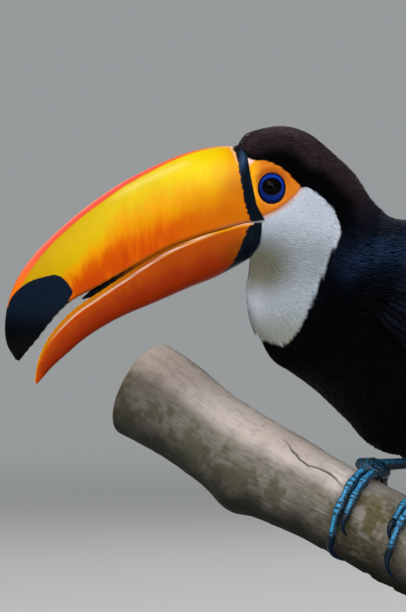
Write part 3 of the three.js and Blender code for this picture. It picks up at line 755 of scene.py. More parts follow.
def makeMandible(half):
    # the sections carried along the bill with notches in the cutting edge, the foot behind them, and the
    # horn's colours and marks as fields
    shape = billShapes[half]
    sections = np.array(shape["sections"])
    height, width, face = mandibleSection(shape)
    along = np.linspace(0, 1, billMesh["along"])[:, None]
    rows = smoothRun(sections, along[:, 0] * (len(sections) - 1))
    ridge, edge, wide = rows[:, None, 0:2], rows[:, None, 2:4], rows[:, None, 4]
    tall = np.linalg.norm(ridge - edge, axis=-1)
    edgeGap = height * tall
    edgeSteps = np.linalg.norm(np.diff(rows[:, 2:4], axis=0), axis=1)
    run = np.concatenate([[0], np.cumsum(edgeSteps)])[:, None]
    # irregular shallow notches along the edge
    teeth = np.abs((run / cuttingEdge["pitch"] + 0.35 * np.sin(run / 9)) % 1 - 0.5) * 2
    teeth = shape["notch"] * teeth * ease(along, 0.12, 0.3) * ease(along, 0.97, 0.85)
    lift = teeth * ease(edgeGap, cuttingEdge["fade"], 0)
    lift = lift + shape["palate"] * face * (1 - along) * ease(along, 1, 0.7)
    place = edge + (ridge - edge) * ((edgeGap + lift) / tall)[..., None]
    side = width * wide
    if "ledge" in shape:  # the rim stands in from the side under it
        rim = smoothRun(shape["ledge"], along[:, 0] * (len(sections) - 1))[:, None]
        standIn = np.where(face > 0, np.abs(width), ease(edgeGap, rim, rim * 0.45))
        side = side - np.sign(width) * np.minimum(0.4 * rim, 1.5) * standIn * ease(along, 1, 0.8)
    side = side * (1 + shape["flare"] * ease(along, 0.11, 0))
    points = np.stack([place[..., 0], side, place[..., 1]], axis=-1)
    footRings, back = mandibleFoot(shape, points[0], width, face)
    points = np.concatenate([footRings, points])
    shown = points.shape[:2]

    def overFoot(values):
        # a field of the bill carried back unchanged over the rows of its foot
        values = np.broadcast_to(values, (len(along), shown[1]))
        return np.concatenate([np.repeat(values[:1], shown[0] - len(along), axis=0), values])

    edgeGap, alongAll = overFoot(edgeGap), overFoot(along)
    # the horn is a little uneven
    swell = noise(points, 9.0, 21) * 0.12 + noise(points, 3.2, 22) * 0.03
    outward = unit(points - points.mean(1, keepdims=True))
    points = points + outward * (swell * ease(edgeGap, 0.5, 3))[..., None]
    runAll = overFoot(run)
    runAll[: len(footRings)] = -8 * np.concatenate([[[1]], back])  # the foot is about 8 mm long
    band = insideDistance(points[..., 0], points[..., 2], billMarks["band"][half])
    band = band + noise(points * (0.3, 0, 1), 1.5, 25) * 0.7  # its edge is ragged
    if half == "lower":  # a pale strip of the rim runs back over the band, to 4 mm from the mouth's corner
        band = np.minimum(band, edgeGap + 1.5 - 2.6 * ease(points[..., 0], -43.2, -45))
    drop = overFoot((1 - height) * tall)
    rim = overFoot(rim) if half == "lower" else 0
    parts = {"rise": overFoot(height), "face": overFoot(face), "edgeGap": edgeGap, "drop": drop}
    colour = paintHorn(half, alongAll, parts | {"run": runAll, "rim": rim, "band": band})
    # painted reflection on the black horn: a little blue-grey on the spot's upper part and over the foot, and
    # a painted blue-grey glint at the top of the foot
    x, z = points[..., 0], points[..., 2]
    bloom = ease(x, -140, -150) * 0.07 * ease(z, 244, 262) + ease(x, -70, -60) * 0.035
    bloom = bloom + 0.6 * bell(z, 351, 5.5) * bell(x, -51.2, 1.8)
    black = np.maximum(band, insideDistance(x, z, billMarks["spot"])) if half == "upper" else band
    fields = {"hornColour": colour, "black": black, "bloom": bloom}
    return tubePart(points, fields=fields, maps={"horn": np.stack([runAll, edgeGap], axis=-1) / 200})


hornColours = shades({
    "yellow": "#e4c700", "dullYellow": "#b88e00", "paleYellow": "#e2cc58", "warmYellow": "#dc9200",
    "orange": "#d26000", "deepOrange": "#b53902", "edgeBrown": "#954602", "amber": "#b65c02",
    "olive": "#824202", "red": "#d8300c", "pink": "#f25848", "palePink": "#f2a086",
    "tipOrange": "#f27208", "sideOrange": "#a84404", "redOrange": "#962c02", "keel": "#7c1c02",
    "rim": "#c06c04", "rimRed": "#a03404", "pale": "#e2c4b2", "inside": "#6a3016",
})


hornBands = {  # by place along the bill, 0 at its base and 1 at its tip
    # heights on the side, as shares of it
    "orangeTop": ((0, 0.13, 0.29, 0.4, 0.53, 0.64), (0.34, 0.31, 0.42, 0.44, 0.28, 0.12)),
    "warmTop": ((0.13, 0.27, 0.38, 0.48, 0.62), (0.86, 0.9, 0.76, 0.58, 0.34)),
    # width in mm along the ridge
    "stripe": ((0, 0.1, 0.25, 0.41, 0.55, 0.63, 0.85, 1), (0.4, 0.7, 1.9, 3.9, 3.8, 4.7, 5.4, 6.0)),
}


def paintUpper(colours, along, streak, parts):
    # a yellow side that turns orange and then brown down to the cutting edge, the brown painted shade, with a
    # painted pale yellow highlight along its upper part; a stripe along the ridge, pink in its middle and
    # orange to the tip, with a painted pale pink highlight on its crest; a painted pale highlight before the
    # black foot
    rise, edgeGap, drop = (parts[name] for name in ("rise", "edgeGap", "drop"))
    blotch = noise(np.stack([parts["run"], edgeGap, drop], axis=-1), 14.0, 33)
    wander = streak * 0.08 + blotch * 0.06
    level, warmTop = (np.interp(along, *hornBands[name]) + wander for name in ("orangeTop", "warmTop"))
    wide = np.interp(along, *hornBands["stripe"])
    nearBase, farther, toTip = ease(along, 0.16, 0.0), ease(along, 0.04, 0.14), ease(along, 0.56, 0.74)
    deep = ease(rise, 0.4 + streak * 0.14 + blotch * 0.06, 0.08)
    deep = deep * ease(along, 0.12, 0.34) * ease(along, 0.6, 0.5) * ease(streak, -0.9, 0.3)
    amber = ease(along, 0.34, 0.06) * ease(rise, mix(0.8, 0.6, farther), mix(0.4, 0.2, farther))
    # painted highlight: pale yellow along the upper side, where the light falls
    highlight = bell(drop, 6.6, 2.4) * ease(along, 0.16, 0.23) * ease(along, 0.42, 0.33)
    # painted shade: browner towards the cutting edge, then amber again at the very edge
    nearEdge = ease(edgeGap, 2.0, 0.5) * ease(along, 0.1, 0.26)
    stripeColour = blend(colours["tipOrange"], colours["pink"], ease(along, 0.12, 0.34) * (1 - toTip))
    # painted highlight: pale pink along the ridge's crest
    ridgeHighlight = ease(drop, wide * 0.5, 0.1) * ease(along, 0.2, 0.4) * (1 - toTip)
    inner = bell(drop, wide, 0.5) * ease(along, 0.15, 0.35) * (1 - toTip)
    return painted(colours, "yellow", [
        ("dullYellow", ease(along, 0.1, 0.75)),
        ("warmYellow", nearBase),
        ("warmYellow", ease(rise, warmTop, level + 0.04)),
        ("orange", ease(rise, level + 0.10, level - 0.18) * mix(1, 0.45, nearBase)),
        ("deepOrange", deep * 0.9),
        ("amber", amber * 0.78),
        ("paleYellow", highlight * 0.75),
        ("edgeBrown", nearEdge * 0.7),
        ("amber", ease(edgeGap, 0.9, 0.1) * nearEdge * ease(along, 0.5, 0.4)),
        (stripeColour, ease(drop, wide + 0.5, wide - 0.4)),
        ("palePink", ridgeHighlight * 0.8),
        ("red", inner * 0.6),
        ("pale", ease(edgeGap, 0.7, 0.3) * ease(along, 0.15, 0.1) * 0.1),
        # painted highlight: a pale line before the black foot's front edge
        ("pale", bell(parts["band"], -0.7, 0.5) * ease(drop, 14, 6) * 0.6),
    ])


def paintLower(colours, along, streak, parts):
    # orange that deepens to a dark red keel, its own red darkened by painted shade on the downward side,
    # with a strip along the cutting edge and a painted highlight, a pale line, in the crease under it
    rise, edgeGap, rim = (parts[name] for name in ("rise", "edgeGap", "rim"))
    strip = painted(colours, "rimRed", [
        ("rim", ease(along, 0.3, 0.5) + ease(along, 0.14, 0.05)),
        ("warmYellow", ease(edgeGap, 0.9, 0.3) * ease(along, 0.1, 0.2)),
        ("pale", ease(along, 0.09, 0.05) * 0.5),
    ])
    # painted highlight: the pale line in the crease
    creaseHighlight = bell(edgeGap, rim - 1.1 * ease(along, 0.4, 0.52), 0.42) * (parts["face"] == 0)
    creaseHighlight = creaseHighlight * ease(along, 0.14, 0.22) * ease(along, 0.8, 0.62) * ease(streak, -1.3, -0.4)
    return painted(colours, "sideOrange", [
        ("redOrange", ease(rise + streak * 0.14, 0.2, 0.7)),
        ("keel", ease(rise + streak * 0.05, 0.8, 1.0) * 0.85),
        ("amber", ease(along, 0.24, 0.0) * ease(rise, 0.9, 0.25) * 0.3),
        ("amber", ease(parts["band"], -3.5, -0.5) * ease(rise, 0.95, 0.5) * 0.8),
        ("olive", ease(along, 0.2, 0.04) * ease(rise, 0.15, 0.6) * 0.85),
        ("orange", ease(along, 0.85, 1.0) * 0.5),
        ("warmYellow", ease(edgeGap, rim + 1.3, rim + 0.5) * ease(along, 0.4, 0.25)),
        ("deepOrange", ease(edgeGap, rim + 4, rim + 0.5) * ease(along, 0.35, 0.6) * 0.8),
        (strip, ease(edgeGap, rim + 0.2, rim - 0.2)),
        ("pale", creaseHighlight * 0.92),
    ])


def paintHorn(half, along, parts):
    # bands of colour by height on the side, ragged with upright streaks: rise is 0 at the cutting edge
    # and 1 at the ridge, edgeGap and drop are mm from the edge and from the ridge
    rise = parts["rise"]
    spot = np.stack([parts["run"], rise * 9, parts["edgeGap"] * 0.15], axis=-1)
    streak = noise(spot, 4.2, 31) * 0.6 + noise(spot, 1.9, 32) * 0.4
    streak = streak + noise(spot * (1, 0.35, 1) + rise[..., None] * (2.0, 0, 0), 1.1, 34) * 0.35
    paint = paintUpper if half == "upper" else paintLower
    colour = paint(hornColours, along, streak, parts)
    return blend(colour, hornColours["inside"], np.minimum(parts["face"] * 3, 1))


# toucan bill: a thin shell of keratin horn, smooth and satin, with soft broad highlights
def hornMaterial(name):
    horn = newMaterial(name)
    place = placeNode(horn)
    # the black's edge wanders by about 0.4 mm
    ragged = mathNode(horn, "ADD", fieldNode(horn, "black"), cloudNode(horn, place, 900.0, 3.0))
    mask = rangeNode(horn, ragged, (0.25, 0.95), kind="SMOOTHSTEP")
    tone = rangeNode(horn, cloudNode(horn, place, 70.0, 5.0), to=(0.86, 1.12))
    mottled = scaleNode(horn, fieldNode(horn, "hornColour", "Color"), tone)
    # painted reflection: the black turns blue-grey by the glint field
    bluish = mixNode(horn, fieldNode(horn, "bloom"), "#000204", "#3e5f88")
    hornMap = addNode(horn, "ShaderNodeUVMap", {"uv_map": "horn"})
    growth = cloudNode(horn, mapNode(horn, hornMap, (60.0, 900.0, 1.0)), 1.0, 3.0)
    return finishWith(horn, {
        "Base Color": mixNode(horn, mask, mottled, bluish),
        "Roughness": rangeNode(horn, growth, to=(0.26, 0.4)),
        "Normal": bumpNode(horn, growth, 0.25, 0.00012),
        "IOR": 1.54,
        "Specular IOR Level": 0.055,
    })


for half, slotName, finish in (
    ("upper", "bill_orange", "yellow and orange bill horn"),
    ("lower", "bill_deep_orange", "deep orange bill horn"),
):
    makePiece(f"{half}_bill_horn", makeMandible(half), hornMaterial(finish), [f"{half}_bill"])


lining = {"end": 5.65, "thick": 2.8}  # the section where the mouth opens right through, half thickness


def makeMouthLining():
    # a lens-shaped body between the mandibles that closes the mouth as far as they meet
    place = np.linspace(0, lining["end"], 70)[:, None]
    upper, lower = (smoothRun(billShapes[half]["sections"], place[:, 0]) for half in ("upper", "lower"))
    turn = onceRound(24)
    middle = (upper[:, None, 2:4] + lower[:, None, 2:4]) / 2
    rise = unit(upper[:, None, 0:2] - upper[:, None, 2:4])
    thick = lining["thick"] * ease(place, lining["end"] + 0.1, lining["end"] - 0.7) + 0.5
    wide = upper[:, None, 4] * 0.86 - 1.5 * ease(place, 2, 5)
    spots = middle + rise * (np.sin(turn) * thick)[..., None]
    rings = np.stack([spots[..., 0], np.cos(turn) * wide, spots[..., 1]], axis=-1)
    rings[..., 0] += 3.0 * ease(place, 0.5, 0)
    opened = np.maximum(ease(place, 3.4, 4.6), 0.7 * ease(place, 1.9, 1.2))
    return tubePart(rings, fields={"opened": opened})


# the mouth's lining: brown where the mandibles meet, and painted shade, near black, by its corner and where
# they part
liningMaterial = newMaterial("dark mouth lining")
finishWith(liningMaterial, {
    "Base Color": mixNode(liningMaterial, fieldNode(liningMaterial, "opened"), "#c46412", "#0a0c12"),
    "Roughness": 0.45,
    "Specular IOR Level": 0.1,
})
makePiece("mouth_lining", makeMouthLining(), liningMaterial)
print("bill made")


# eyes
eyelid = {
    "middle": (eye["x"] - 0.5, eye["z"] - 0.9),
    "outer": (8.65, 9.8),  # half width and half height of the blue ring
    "opening": (5.45, 4.9),
    "openingUp": 1.1,  # the opening's middle over the ring's
    "crest": 1.0,  # how far the ring swells out
    "gap": 0.25,  # between the eyeball and the ring's inner edge
    "thick": 2.2,
    "pupilEdge": (2.9, 3.3),  # where the pupil's black ends and the iris's brown is full
}


def makeEyeball(side):
    # a globe with a clear bulge in front, whose height over the globe is 0.7 mm falling to none at 5 mm
    sign = 1 if side == "right" else -1
    polar = np.linspace(0.02, np.pi - 0.02, 60)[:, None]
    turn = onceRound(64)
    fromAxis = eye["radius"] * np.sin(polar)
    bulge = 0.7 * ease(fromAxis, 5.2, 0) * (polar < 1.2)
    radius = eye["radius"] - 0.15 + bulge
    x = radius * np.sin(polar) * np.cos(turn)
    z = radius * np.sin(polar) * np.sin(turn)
    y = radius * np.cos(polar) + np.zeros_like(turn)
    middle = np.array([eyelid["middle"][0], sign * eyeOut, eyelid["middle"][1] + eyelid["openingUp"] * 0.6])
    rings = middle + np.stack([x, sign * y, z], axis=-1)
    return tubePart(rings, fields={"fromAxis": np.where(polar < 1.5, fromAxis, 9.0)})


def makeEyelid(side):
    # a swollen oval ring of skin from the eye's opening out to the face: its height over the line from
    # globe to face is a half sine, with fine folds along and across it, and a closed underside
    sign = 1 if side == "right" else -1
    spin = np.linspace(0, 2 * np.pi, 145)[:-1, None]
    share = np.linspace(0, 1, 30)[None]
    outX, outZ = eyelid["outer"][0] * np.cos(spin), eyelid["outer"][1] * np.sin(spin)
    inX = eyelid["opening"][0] * np.cos(spin)
    inZ = eyelid["opening"][1] * np.sin(spin) + eyelid["openingUp"]
    x, z = (middle + mix(inner, outer, share) for middle, inner, outer in zip(
        eyelid["middle"], (inX, inZ), (outX, outZ)
    ))
    face = headSide(x, z)[2]
    fromAxis = np.hypot(inX, inZ - eyelid["openingUp"] * 0.6)
    globe = eyeOut + np.sqrt(np.maximum(eye["radius"] ** 2 - fromAxis**2, 1)) + eyelid["gap"]
    level = mix(globe, face - 0.4, ease(share, 0, 0.9))
    swell = eyelid["crest"] * np.sin(np.pi * share**0.8) ** 0.7
    folds = 0.10 * np.cos(share * 2 * np.pi * 3.4 + 0.5 * np.sin(3 * spin)) * np.sin(np.pi * share)
    folds = folds + 0.05 * np.sin(spin * 34 + 3 * np.sin(spin * 5)) * np.sin(np.pi * share) ** 2
    top = np.stack([x, sign * (level + swell + folds), z], axis=-1)
    under = top[:, [-1, -8, 8, 0]] - np.array([0, sign * eyelid["thick"], 0])
    rings = np.concatenate([top, under], axis=1)
    loops = rings.shape[0] * rings.shape[1]
    i = np.arange(loops).reshape(rings.shape[:2])
    across, onward = np.roll(i, -1, axis=1), np.roll(i, -1, axis=0)
    both = np.roll(across, -1, axis=0)
    quads = np.stack([i, across, both, onward], axis=-1).reshape(-1, 4)
    quads = quads if sign > 0 else quads[:, ::-1]
    underShare = np.tile([1.0, 0.8, 0.2, 0.0], (len(spin), 1))
    ring = np.concatenate([np.repeat(share, len(spin), 0), underShare], axis=1)
    upward = np.repeat(np.sin(spin), rings.shape[1], axis=1)
    fields = {"across": ring.reshape(-1), "upward": upward.reshape(-1)}
    return {"points": rings.reshape(-1, 3), "faces": [quads], "fields": fields}


# toucan eye: dark brown iris and black pupil under a wet clear cornea, which mirrors the light
eyeMaterial = newMaterial("wet dark brown eye")
iris = mixNode(eyeMaterial, cloudNode(eyeMaterial, placeNode(eyeMaterial), 1500.0), "#050303", "#0f0805")
pupil = rangeNode(eyeMaterial, fieldNode(eyeMaterial, "fromAxis"), eyelid["pupilEdge"])
finishWith(eyeMaterial, {
    "Base Color": mixNode(eyeMaterial, pupil, "#010101", iris),
    "Roughness": 0.03,
    "IOR": 1.38,
    "Specular IOR Level": 0.08,
})

# the ring of bare blue eyelid skin: finely folded and a little shiny, with painted light and shade in its
# colour: a painted highlight on the swollen crest, painted shade in its outer groove and at its inner edge,
# and brighter to its top
lidMaterial = newMaterial("bare cobalt blue eyelid skin")
ringShade = addNode(lidMaterial, "ShaderNodeValToRGB", {"Fac": fieldNode(lidMaterial, "across")})
ramp = ringShade.node.color_ramp
ramp.elements[0].color, ramp.elements[1].color = rgba("#030a38"), rgba("#02041e")
for position, colour in ((0.14, "#011450"), (0.4, "#0238a4"), (0.62, "#012074"), (0.84, "#010830")):
    ramp.elements.new(position).color = rgba(colour)
# painted light: the ring is brighter to its top and darker below
paintedTopLight = rangeNode(lidMaterial, fieldNode(lidMaterial, "upward"), (-0.2, 1), (0.45, 1.1))
finishWith(lidMaterial, {
    "Base Color": scaleNode(lidMaterial, ringShade, paintedTopLight),
    "Normal": bumpNode(lidMaterial, cellNode(lidMaterial, placeNode(lidMaterial), 2200.0), 0.3, 0.0001),
    "Roughness": 0.42,
    "Specular IOR Level": 0.06,
})

for side in ("left", "right"):
    makePiece(f"eyeball_{side}", makeEyeball(side), eyeMaterial, [f"eye_{side}"])
    makePiece(f"eyelid_{side}", makeEyelid(side), lidMaterial)
print("eyes made")


# feathers
def vaneFaces(rings, columns, under):
    # one feather's faces: a fan from the root point, quads between its rings, a fan to the tip point;
    # the last few of each ring are its underside
    i = 1 + np.arange(rings * columns).reshape(rings, columns)
    j = np.roll(i, -1, axis=1)
    quads = np.stack([i[:-1], j[:-1], j[1:], i[1:]], axis=-1).reshape(-1, 4)
    root, tip = np.zeros(columns, int), np.full(columns, 1 + rings * columns)
    fans = np.concatenate([np.stack([root, j[0], i[0]], -1), np.stack([tip, i[-1], j[-1]], -1)])
    isUnder = np.arange(columns) >= columns - under
    return quads, fans, np.tile(isUnder, rings - 1), np.tile(isUnder, 2)


vaneShapes = {
    # way: the rings' places from root to tip; wide: half width there as a share of the most;
    # side and high: the section's corners across the vane and over it, in shares of width and thickness;
    # under: how many of the section's stretches face down; climb: the spine rises as share^climb;
    # camber: how far the vane is arched, in shares of its half width
    "tuft": {
        "under": 1, "climb": 0.5, "camber": 0.05,
        "way": (0.3, 0.68), "wide": (1.0, 0.72), "side": (-1, 0, 1), "high": (0, 1, 0),
    },
    "contour": {
        "under": 2, "climb": 0.8, "camber": 0.11,
        "way": (0.16, 0.45, 0.74, 0.92), "wide": (0.62, 1.0, 0.9, 0.5),
        "side": (-1, -0.5, 0, 0.5, 1, 0), "high": (0, 0.9, 1.25, 0.9, 0, -0.2),
    },
    "flight": {
        "under": 4, "climb": 0.8, "camber": 0.10,
        "way": (0.02, 0.08, 0.16, 0.26, 0.38, 0.5, 0.62, 0.73, 0.82, 0.89, 0.945, 0.98),
        "wide": (0.3, 0.62, 0.8, 0.9, 0.96, 1.0, 1.0, 0.98, 0.92, 0.8, 0.6, 0.36),
        "side": (-1, -0.6, -0.14, 0, 0.14, 0.6, 1, 0.5, 0, -0.5),
        "high": (0, 0.8, 1.0, 2.2, 1.0, 0.8, 0, 0.1, 0.3, 0.1),
    },
}


def growFeathers(surface, start, end, halfWide, thick, rise, shape):
    # each feather's spine runs between two places of a surface, start and end, rising over it from
    # rise[0] to rise[1] mm, with its section carried along. surface(a, b, lift) gives points, and
    # a and b are its two measures
    form = vaneShapes[shape]
    way = np.array((0,) + form["way"] + (1,))[None]
    wide = np.array((0,) + form["wide"] + (0,))[None]
    a, b = (mix(first[:, None], last[:, None], way) for first, last in zip(start, end))
    count = len(a)
    rootLift, tipLift = (np.broadcast_to(each, count)[:, None] for each in rise)
    lift = mix(rootLift, tipLift, way ** form["climb"])
    spine = surface(a, b, lift)
    run = unit(np.gradient(spine, axis=1))
    overSpine = surface(a, b, lift + 0.5) - spine
    across = unit(np.cross(overSpine, run))
    over = np.cross(run, across)
    side, high = np.array(form["side"]), np.array(form["high"])
    halfWide, thick = (np.broadcast_to(each, count)[:, None, None] for each in (halfWide, thick))
    inner = slice(1, -1)
    reach = halfWide * wide[:, inner, None] * side
    arch = form["camber"] * halfWide * wide[:, inner, None] * (1 - side**2)
    height = arch + thick * high * (0.4 + 0.6 * wide[:, inner, None])
    rings = spine[:, inner, None] + across[:, inner, None] * reach[..., None]
    rings = rings + over[:, inner, None] * height[..., None]
    columns = len(side)
    points = np.concatenate([spine[:, :1], rings.reshape(count, -1, 3), spine[:, -1:]], axis=1)
    quads, fans, *under = vaneFaces(way.shape[1] - 2, columns, form["under"])
    offset = (np.arange(count) * points.shape[1])[:, None, None]
    faces = [(quads + offset).reshape(-1, 4), (fans + offset).reshape(-1, 3)]
    share = np.concatenate([[0], np.repeat(form["way"], columns), [1]])
    place = np.concatenate([[0], np.tile(side, way.shape[1] - 2), [0]])
    return points, faces, share, place, np.concatenate([np.tile(each, count) for each in under])


coatMap = {"patch": 0.003, "margin": 0.004}


def coatPart(surface, start, end, halfWide, thick, rise, shape, colour, unwrapAt):
    # feathers with their colours and their two maps: OFBake, a small patch at the root's place on the
    # unwrapped skin, and vane, across and along each feather
    points, faces, share, place, under = growFeathers(surface, start, end, halfWide, thick, rise, shape)
    count, corners = points.shape[:2]
    colours = colour[:, None] * np.ones((1, corners, 1))
    patch = np.stack([place / 2, share - 0.5], axis=-1) * coatMap["patch"]
    bake = np.clip(unwrapAt, coatMap["margin"], 1 - coatMap["margin"])[:, None] + patch
    vane = np.stack([place * 0.5 + 0.5, share], axis=-1) * np.ones((count, 1, 1))
    own = np.repeat(np.random.default_rng(5).random(count), corners)
    return {
        "points": points.reshape(-1, 3),
        "faces": faces,
        "fields": {"plumage": colours.reshape(-1, 3), "own": own},
        "maps": {"OFBake": bake.reshape(-1, 2), "vane": vane.reshape(-1, 2)},
        "flat": under,
    }


def bodySkin(section, turn, lift):
    # lift is over the skin, which lies under the coat's outline by the coat's depth
    return bodyPoint(section, turn, lift - coatDepth(section))


def measures(surface, a, b):
    # how many mm one step of each of the surface's measures covers at a place
    here = surface(a, b, 1.0)
    alongStep = np.linalg.norm(surface(a + 0.01, b, 1.0) - here, axis=-1) / 0.01
    acrossStep = np.linalg.norm(surface(a, b + 0.001, 1.0) - here, axis=-1) / 0.001
    return np.maximum(alongStep, 1e-3), np.maximum(acrossStep, 1e-3)


def scatter(surface, reach, pitch, spacing, jitter=0.35):
    # staggered rows one pitch apart along the middle, with roots one spacing apart round each row,
    # each shifted by a random share of both; crowded stretches are thinned to the same cover
    fine = np.linspace(reach[0], reach[1], 400)
    middle = surface(fine, np.full(400, 0.25), 1.0)
    length = np.concatenate([[0], np.cumsum(np.linalg.norm(np.diff(middle, axis=0), axis=1))])
    rows = np.arange(0, length[-1], pitch)
    onceAround = np.linspace(0, 1, 241)
    alongs, turns = [], []
    for number, row in enumerate(np.interp(rows, length, fine)):
        ring = surface(np.full(len(onceAround), row), onceAround, 1.0)
        girth = np.concatenate([[0], np.cumsum(np.linalg.norm(np.diff(ring, axis=0), axis=1))])
        count = max(3, int(girth[-1] / spacing))
        shares = (np.arange(count) + 0.5 * (number % 2) + jitter * rng.uniform(-1, 1, count)) / count
        turns.append(np.interp(shares % 1 * girth[-1], girth, onceAround))
        alongs.append(np.full(count, row))
    a, b = np.concatenate(alongs), np.concatenate(turns)
    step = np.interp(a, fine[:-1], np.diff(fine) / np.diff(length))
    a = np.clip(a + jitter * pitch * rng.uniform(-1, 1, len(a)) * step, *reach)
    crowding = measures(surface, a, b)[0] * step
    keep = rng.random(len(a)) < np.clip(crowding * 1.1, 0.3, 1)
    return a[keep], b[keep]


def wingCover(section, turn):
    # how high the folded wing stands over the body at a place, 0 beside it
    place = np.interp(section, wingSections[:, 0], np.arange(len(wingSections)))
    upper, lower = (np.arccos(smoothRun(wingSections[:, i], place)) / (2 * np.pi) for i in (1, 2))
    own = np.minimum(turn % 1, 1 - turn % 1)
    down = (own - upper) / (lower - upper)
    height = 1.2 + smoothRun(wingSections[:, 3], place) * np.sin(np.clip(down, 0, 1) * np.pi) ** 0.5
    shape = ease(down, -0.16, 0.1) * ease(down, 1.16, 0.9)
    return height * shape * ease(section, 6.5, 7.9) * ease(section, 16.9, 16.2)


def shoulderSkin(section, turn, lift):
    # the body's skin, with the folded wing as a swelling on it
    return bodyPoint(section, turn, lift - coatDepth(section) + wingCover(section, turn))


rootDepth = 0.25  # how far a root starts under the skin, mm


def bodyFeathers(surface, reach, pitch, spacing, shape, thick, rules):
    # feathers over one stretch of the body, lying from bill to tail. rules holds functions of section
    # and turn: length and halfWide in mm, grows where roots may be, and belongs where tips may be, so
    # that the feathers' tips draw the markings' edges; lie turns them up towards the back, in radians
    section, turn = scatter(surface, reach, pitch, spacing)
    keep = rules["grows"](section, turn)
    section, turn = section[keep], turn[keep]
    long = rules["length"](section, turn) * rng.uniform(0.85, 1.15, len(section))
    alongStep, acrossStep = measures(surface, section, turn)
    upward = np.where(turn % 1 < 0.5, -1, 1) * rules.get("lie", lambda s, t: 0)(section, turn)
    yaw = rng.normal(0, rules.get("stray", 0.12), len(section)) + upward
    endSection = np.minimum(section + long * np.cos(yaw) / alongStep, lastSection)
    endTurn = turn + long * np.sin(yaw) / acrossStep
    middle = mix(section, endSection, 0.88), mix(turn, endTurn, 0.88)
    keep = rules["belongs"](*middle)
    section, turn, endSection, endTurn = (v[keep] for v in (section, turn, endSection, endTurn))
    count = len(section)
    wide = rules["halfWide"](section, turn) * rng.uniform(0.85, 1.15, count)
    colour = plumageAt(*(each[keep] for each in middle))[0]
    vary = rules.get("vary", 0.2)
    varied = colour * rng.uniform(1 - vary, 1 + vary, (count, 1))
    rough = rules.get("rough", 0.06)
    rootLift, tipLift = rules.get("lift", lambda s, t: (0, 0))(section, turn)
    tip = (coatDepth(section) * 0.95 + tipLift) * rng.uniform(1 - rough, 1 + rough, count)
    rise = (rootLift - rootDepth, tip)
    unwrap = np.stack([turn % 1, np.maximum(section, 0) / lastSection], axis=-1)
    start, end = (section, turn), (endSection, endTurn)
    return coatPart(surface, start, end, wide, thick, rise, shape, varied, unwrap)


# feathers: keratin barbs side by side, a soft satin surface with a fine grain along the vane
def plumageMaterial(name, roughness, specular, sheen, barbs):
    vane = newMaterial(name)
    vaneMap = addNode(vane, "ShaderNodeUVMap", {"uv_map": "vane"})
    place = addNode(vane, "ShaderNodeSeparateXYZ", {"Vector": vaneMap}).node.outputs
    # barbs run out and forward from the shaft at about 35 degrees
    aside = mathNode(vane, "ABSOLUTE", mathNode(vane, "SUBTRACT", place["X"], 0.5))
    slant = mathNode(vane, "MULTIPLY_ADD", aside, -0.55, place["Y"])
    wave = mathNode(vane, "SINE", mathNode(vane, "MULTIPLY", slant, barbs * 2 * math.pi))
    tone = rangeNode(vane, wave, (-1, 1), (0.9, 1.08))
    tone = mathNode(vane, "MULTIPLY", tone, rangeNode(vane, place["Y"], to=(0.8, 1.12)))
    return finishWith(vane, {
        "Base Color": scaleNode(vane, fieldNode(vane, "plumage", "Color"), tone),
        "Roughness": rangeNode(vane, fieldNode(vane, "own"), to=(roughness - 0.06, roughness + 0.08)),
        "Normal": bumpNode(vane, wave, 0.35, 0.00015),
        "Specular IOR Level": specular,
        "Sheen Weight": sheen,
        "Sheen Roughness": 0.4,
    })


crownFinish = plumageMaterial("short soft brown-black feathers", 0.68, 0.03, 0.0, 5)
bibFinish = plumageMaterial("soft white feathers", 0.8, 0.1, 0.1, 5)
bodyFinish = plumageMaterial("satin blue-black feathers", 0.52, 0.04, 0.0, 14)
rumpFinish = plumageMaterial("soft white and crimson tail coverts", 0.7, 0.15, 0.05, 16)


def nearFace(section, turn):
    # distance in mm behind the horn and outside the bare skin
    x, z = sideView(section, turn)
    horn = -insideDistance(x, z, markings["horn"])
    bare = -insideDistance(x, z, markings["bare"])
    return horn, bare


def headGrows(section, turn):
    # behind the horn and the bare skin, and in a wedge of the forehead that runs out over the bill's foot
    horn, bare = nearFace(section, turn)
    x, side = bodyPoint(section, turn)[..., 0], bodyPoint(section, turn)[..., 1]
    forehead = (section < 1) & (np.abs(side) < 3 + 1.6 * (x + 57)) & (heightAt(turn) > 0.7)
    return ((horn > 0.1) | forehead) & (bare > 0.1)


def headLength(section, turn):
    # shortest at the bill and round the eye, longer to the neck
    horn, bare = nearFace(section, turn)
    near = np.minimum(np.maximum(horn, 0), np.maximum(bare, 0))
    return 2.2 + 2.8 * ease(near, 0, 12) + 2.6 * ease(section, 3.5, 7.5)


def isPale(section, turn):
    return plumageAt(section, turn)[2] > 0.5


def darkGrows(section, turn):
    # dark feathers have no roots under the bib, so that its own tips draw its edge
    return headGrows(section, turn) & ~isPale(section, turn)


def cheekLie(section, turn):
    # the cheek's feathers lie straight back, turned up from the run of the throat's
    height = heightAt(turn)
    return 0.5 * ease(height, -0.95, -0.3) * ease(height, 0.75, 0.3) * ease(section, 7, 4)


def showCoat(name, part, finish, replaced=()):
    makePiece(name, part, finish, replaced)
    print(name, sum(len(faces) * (faces.shape[1] - 2) for faces in part["faces"]), "triangles")


def crownLift(section, turn):
    # the forehead's first feathers stand up on the bill's black foot, and the nape is a little full
    onTop = ease(heightAt(turn), 0.8, 0.96)
    rise = ease(section, -0.45, 0.1)
    root, tip = (2.0 * onTop * rise * ease(section, end, end - 1.1) for end in (1.7, 1.2))
    nape = 2.2 * ease(heightAt(turn), 0.4, 0.9) * bell(section, 5.9, 1.2)
    return root, tip + nape


def crownHalfWide(section, turn):
    # half widths in mm: 0.24 at the face to 0.44 on the neck, and 0.22 more on top of the forehead
    onTop = ease(heightAt(turn), 0.6, 0.9)
    return 0.24 + 0.2 * ease(section, 1, 7) + 0.22 * ease(section, 2.4, 1) * onTop


def bibLift(section, turn):
    # the bib's lower end is puffed out over the breast
    z = sideView(section, turn)[1]
    return 0, 2.4 * ease(z, 272, 252) * ease(heightAt(turn), 0.1, -0.6)


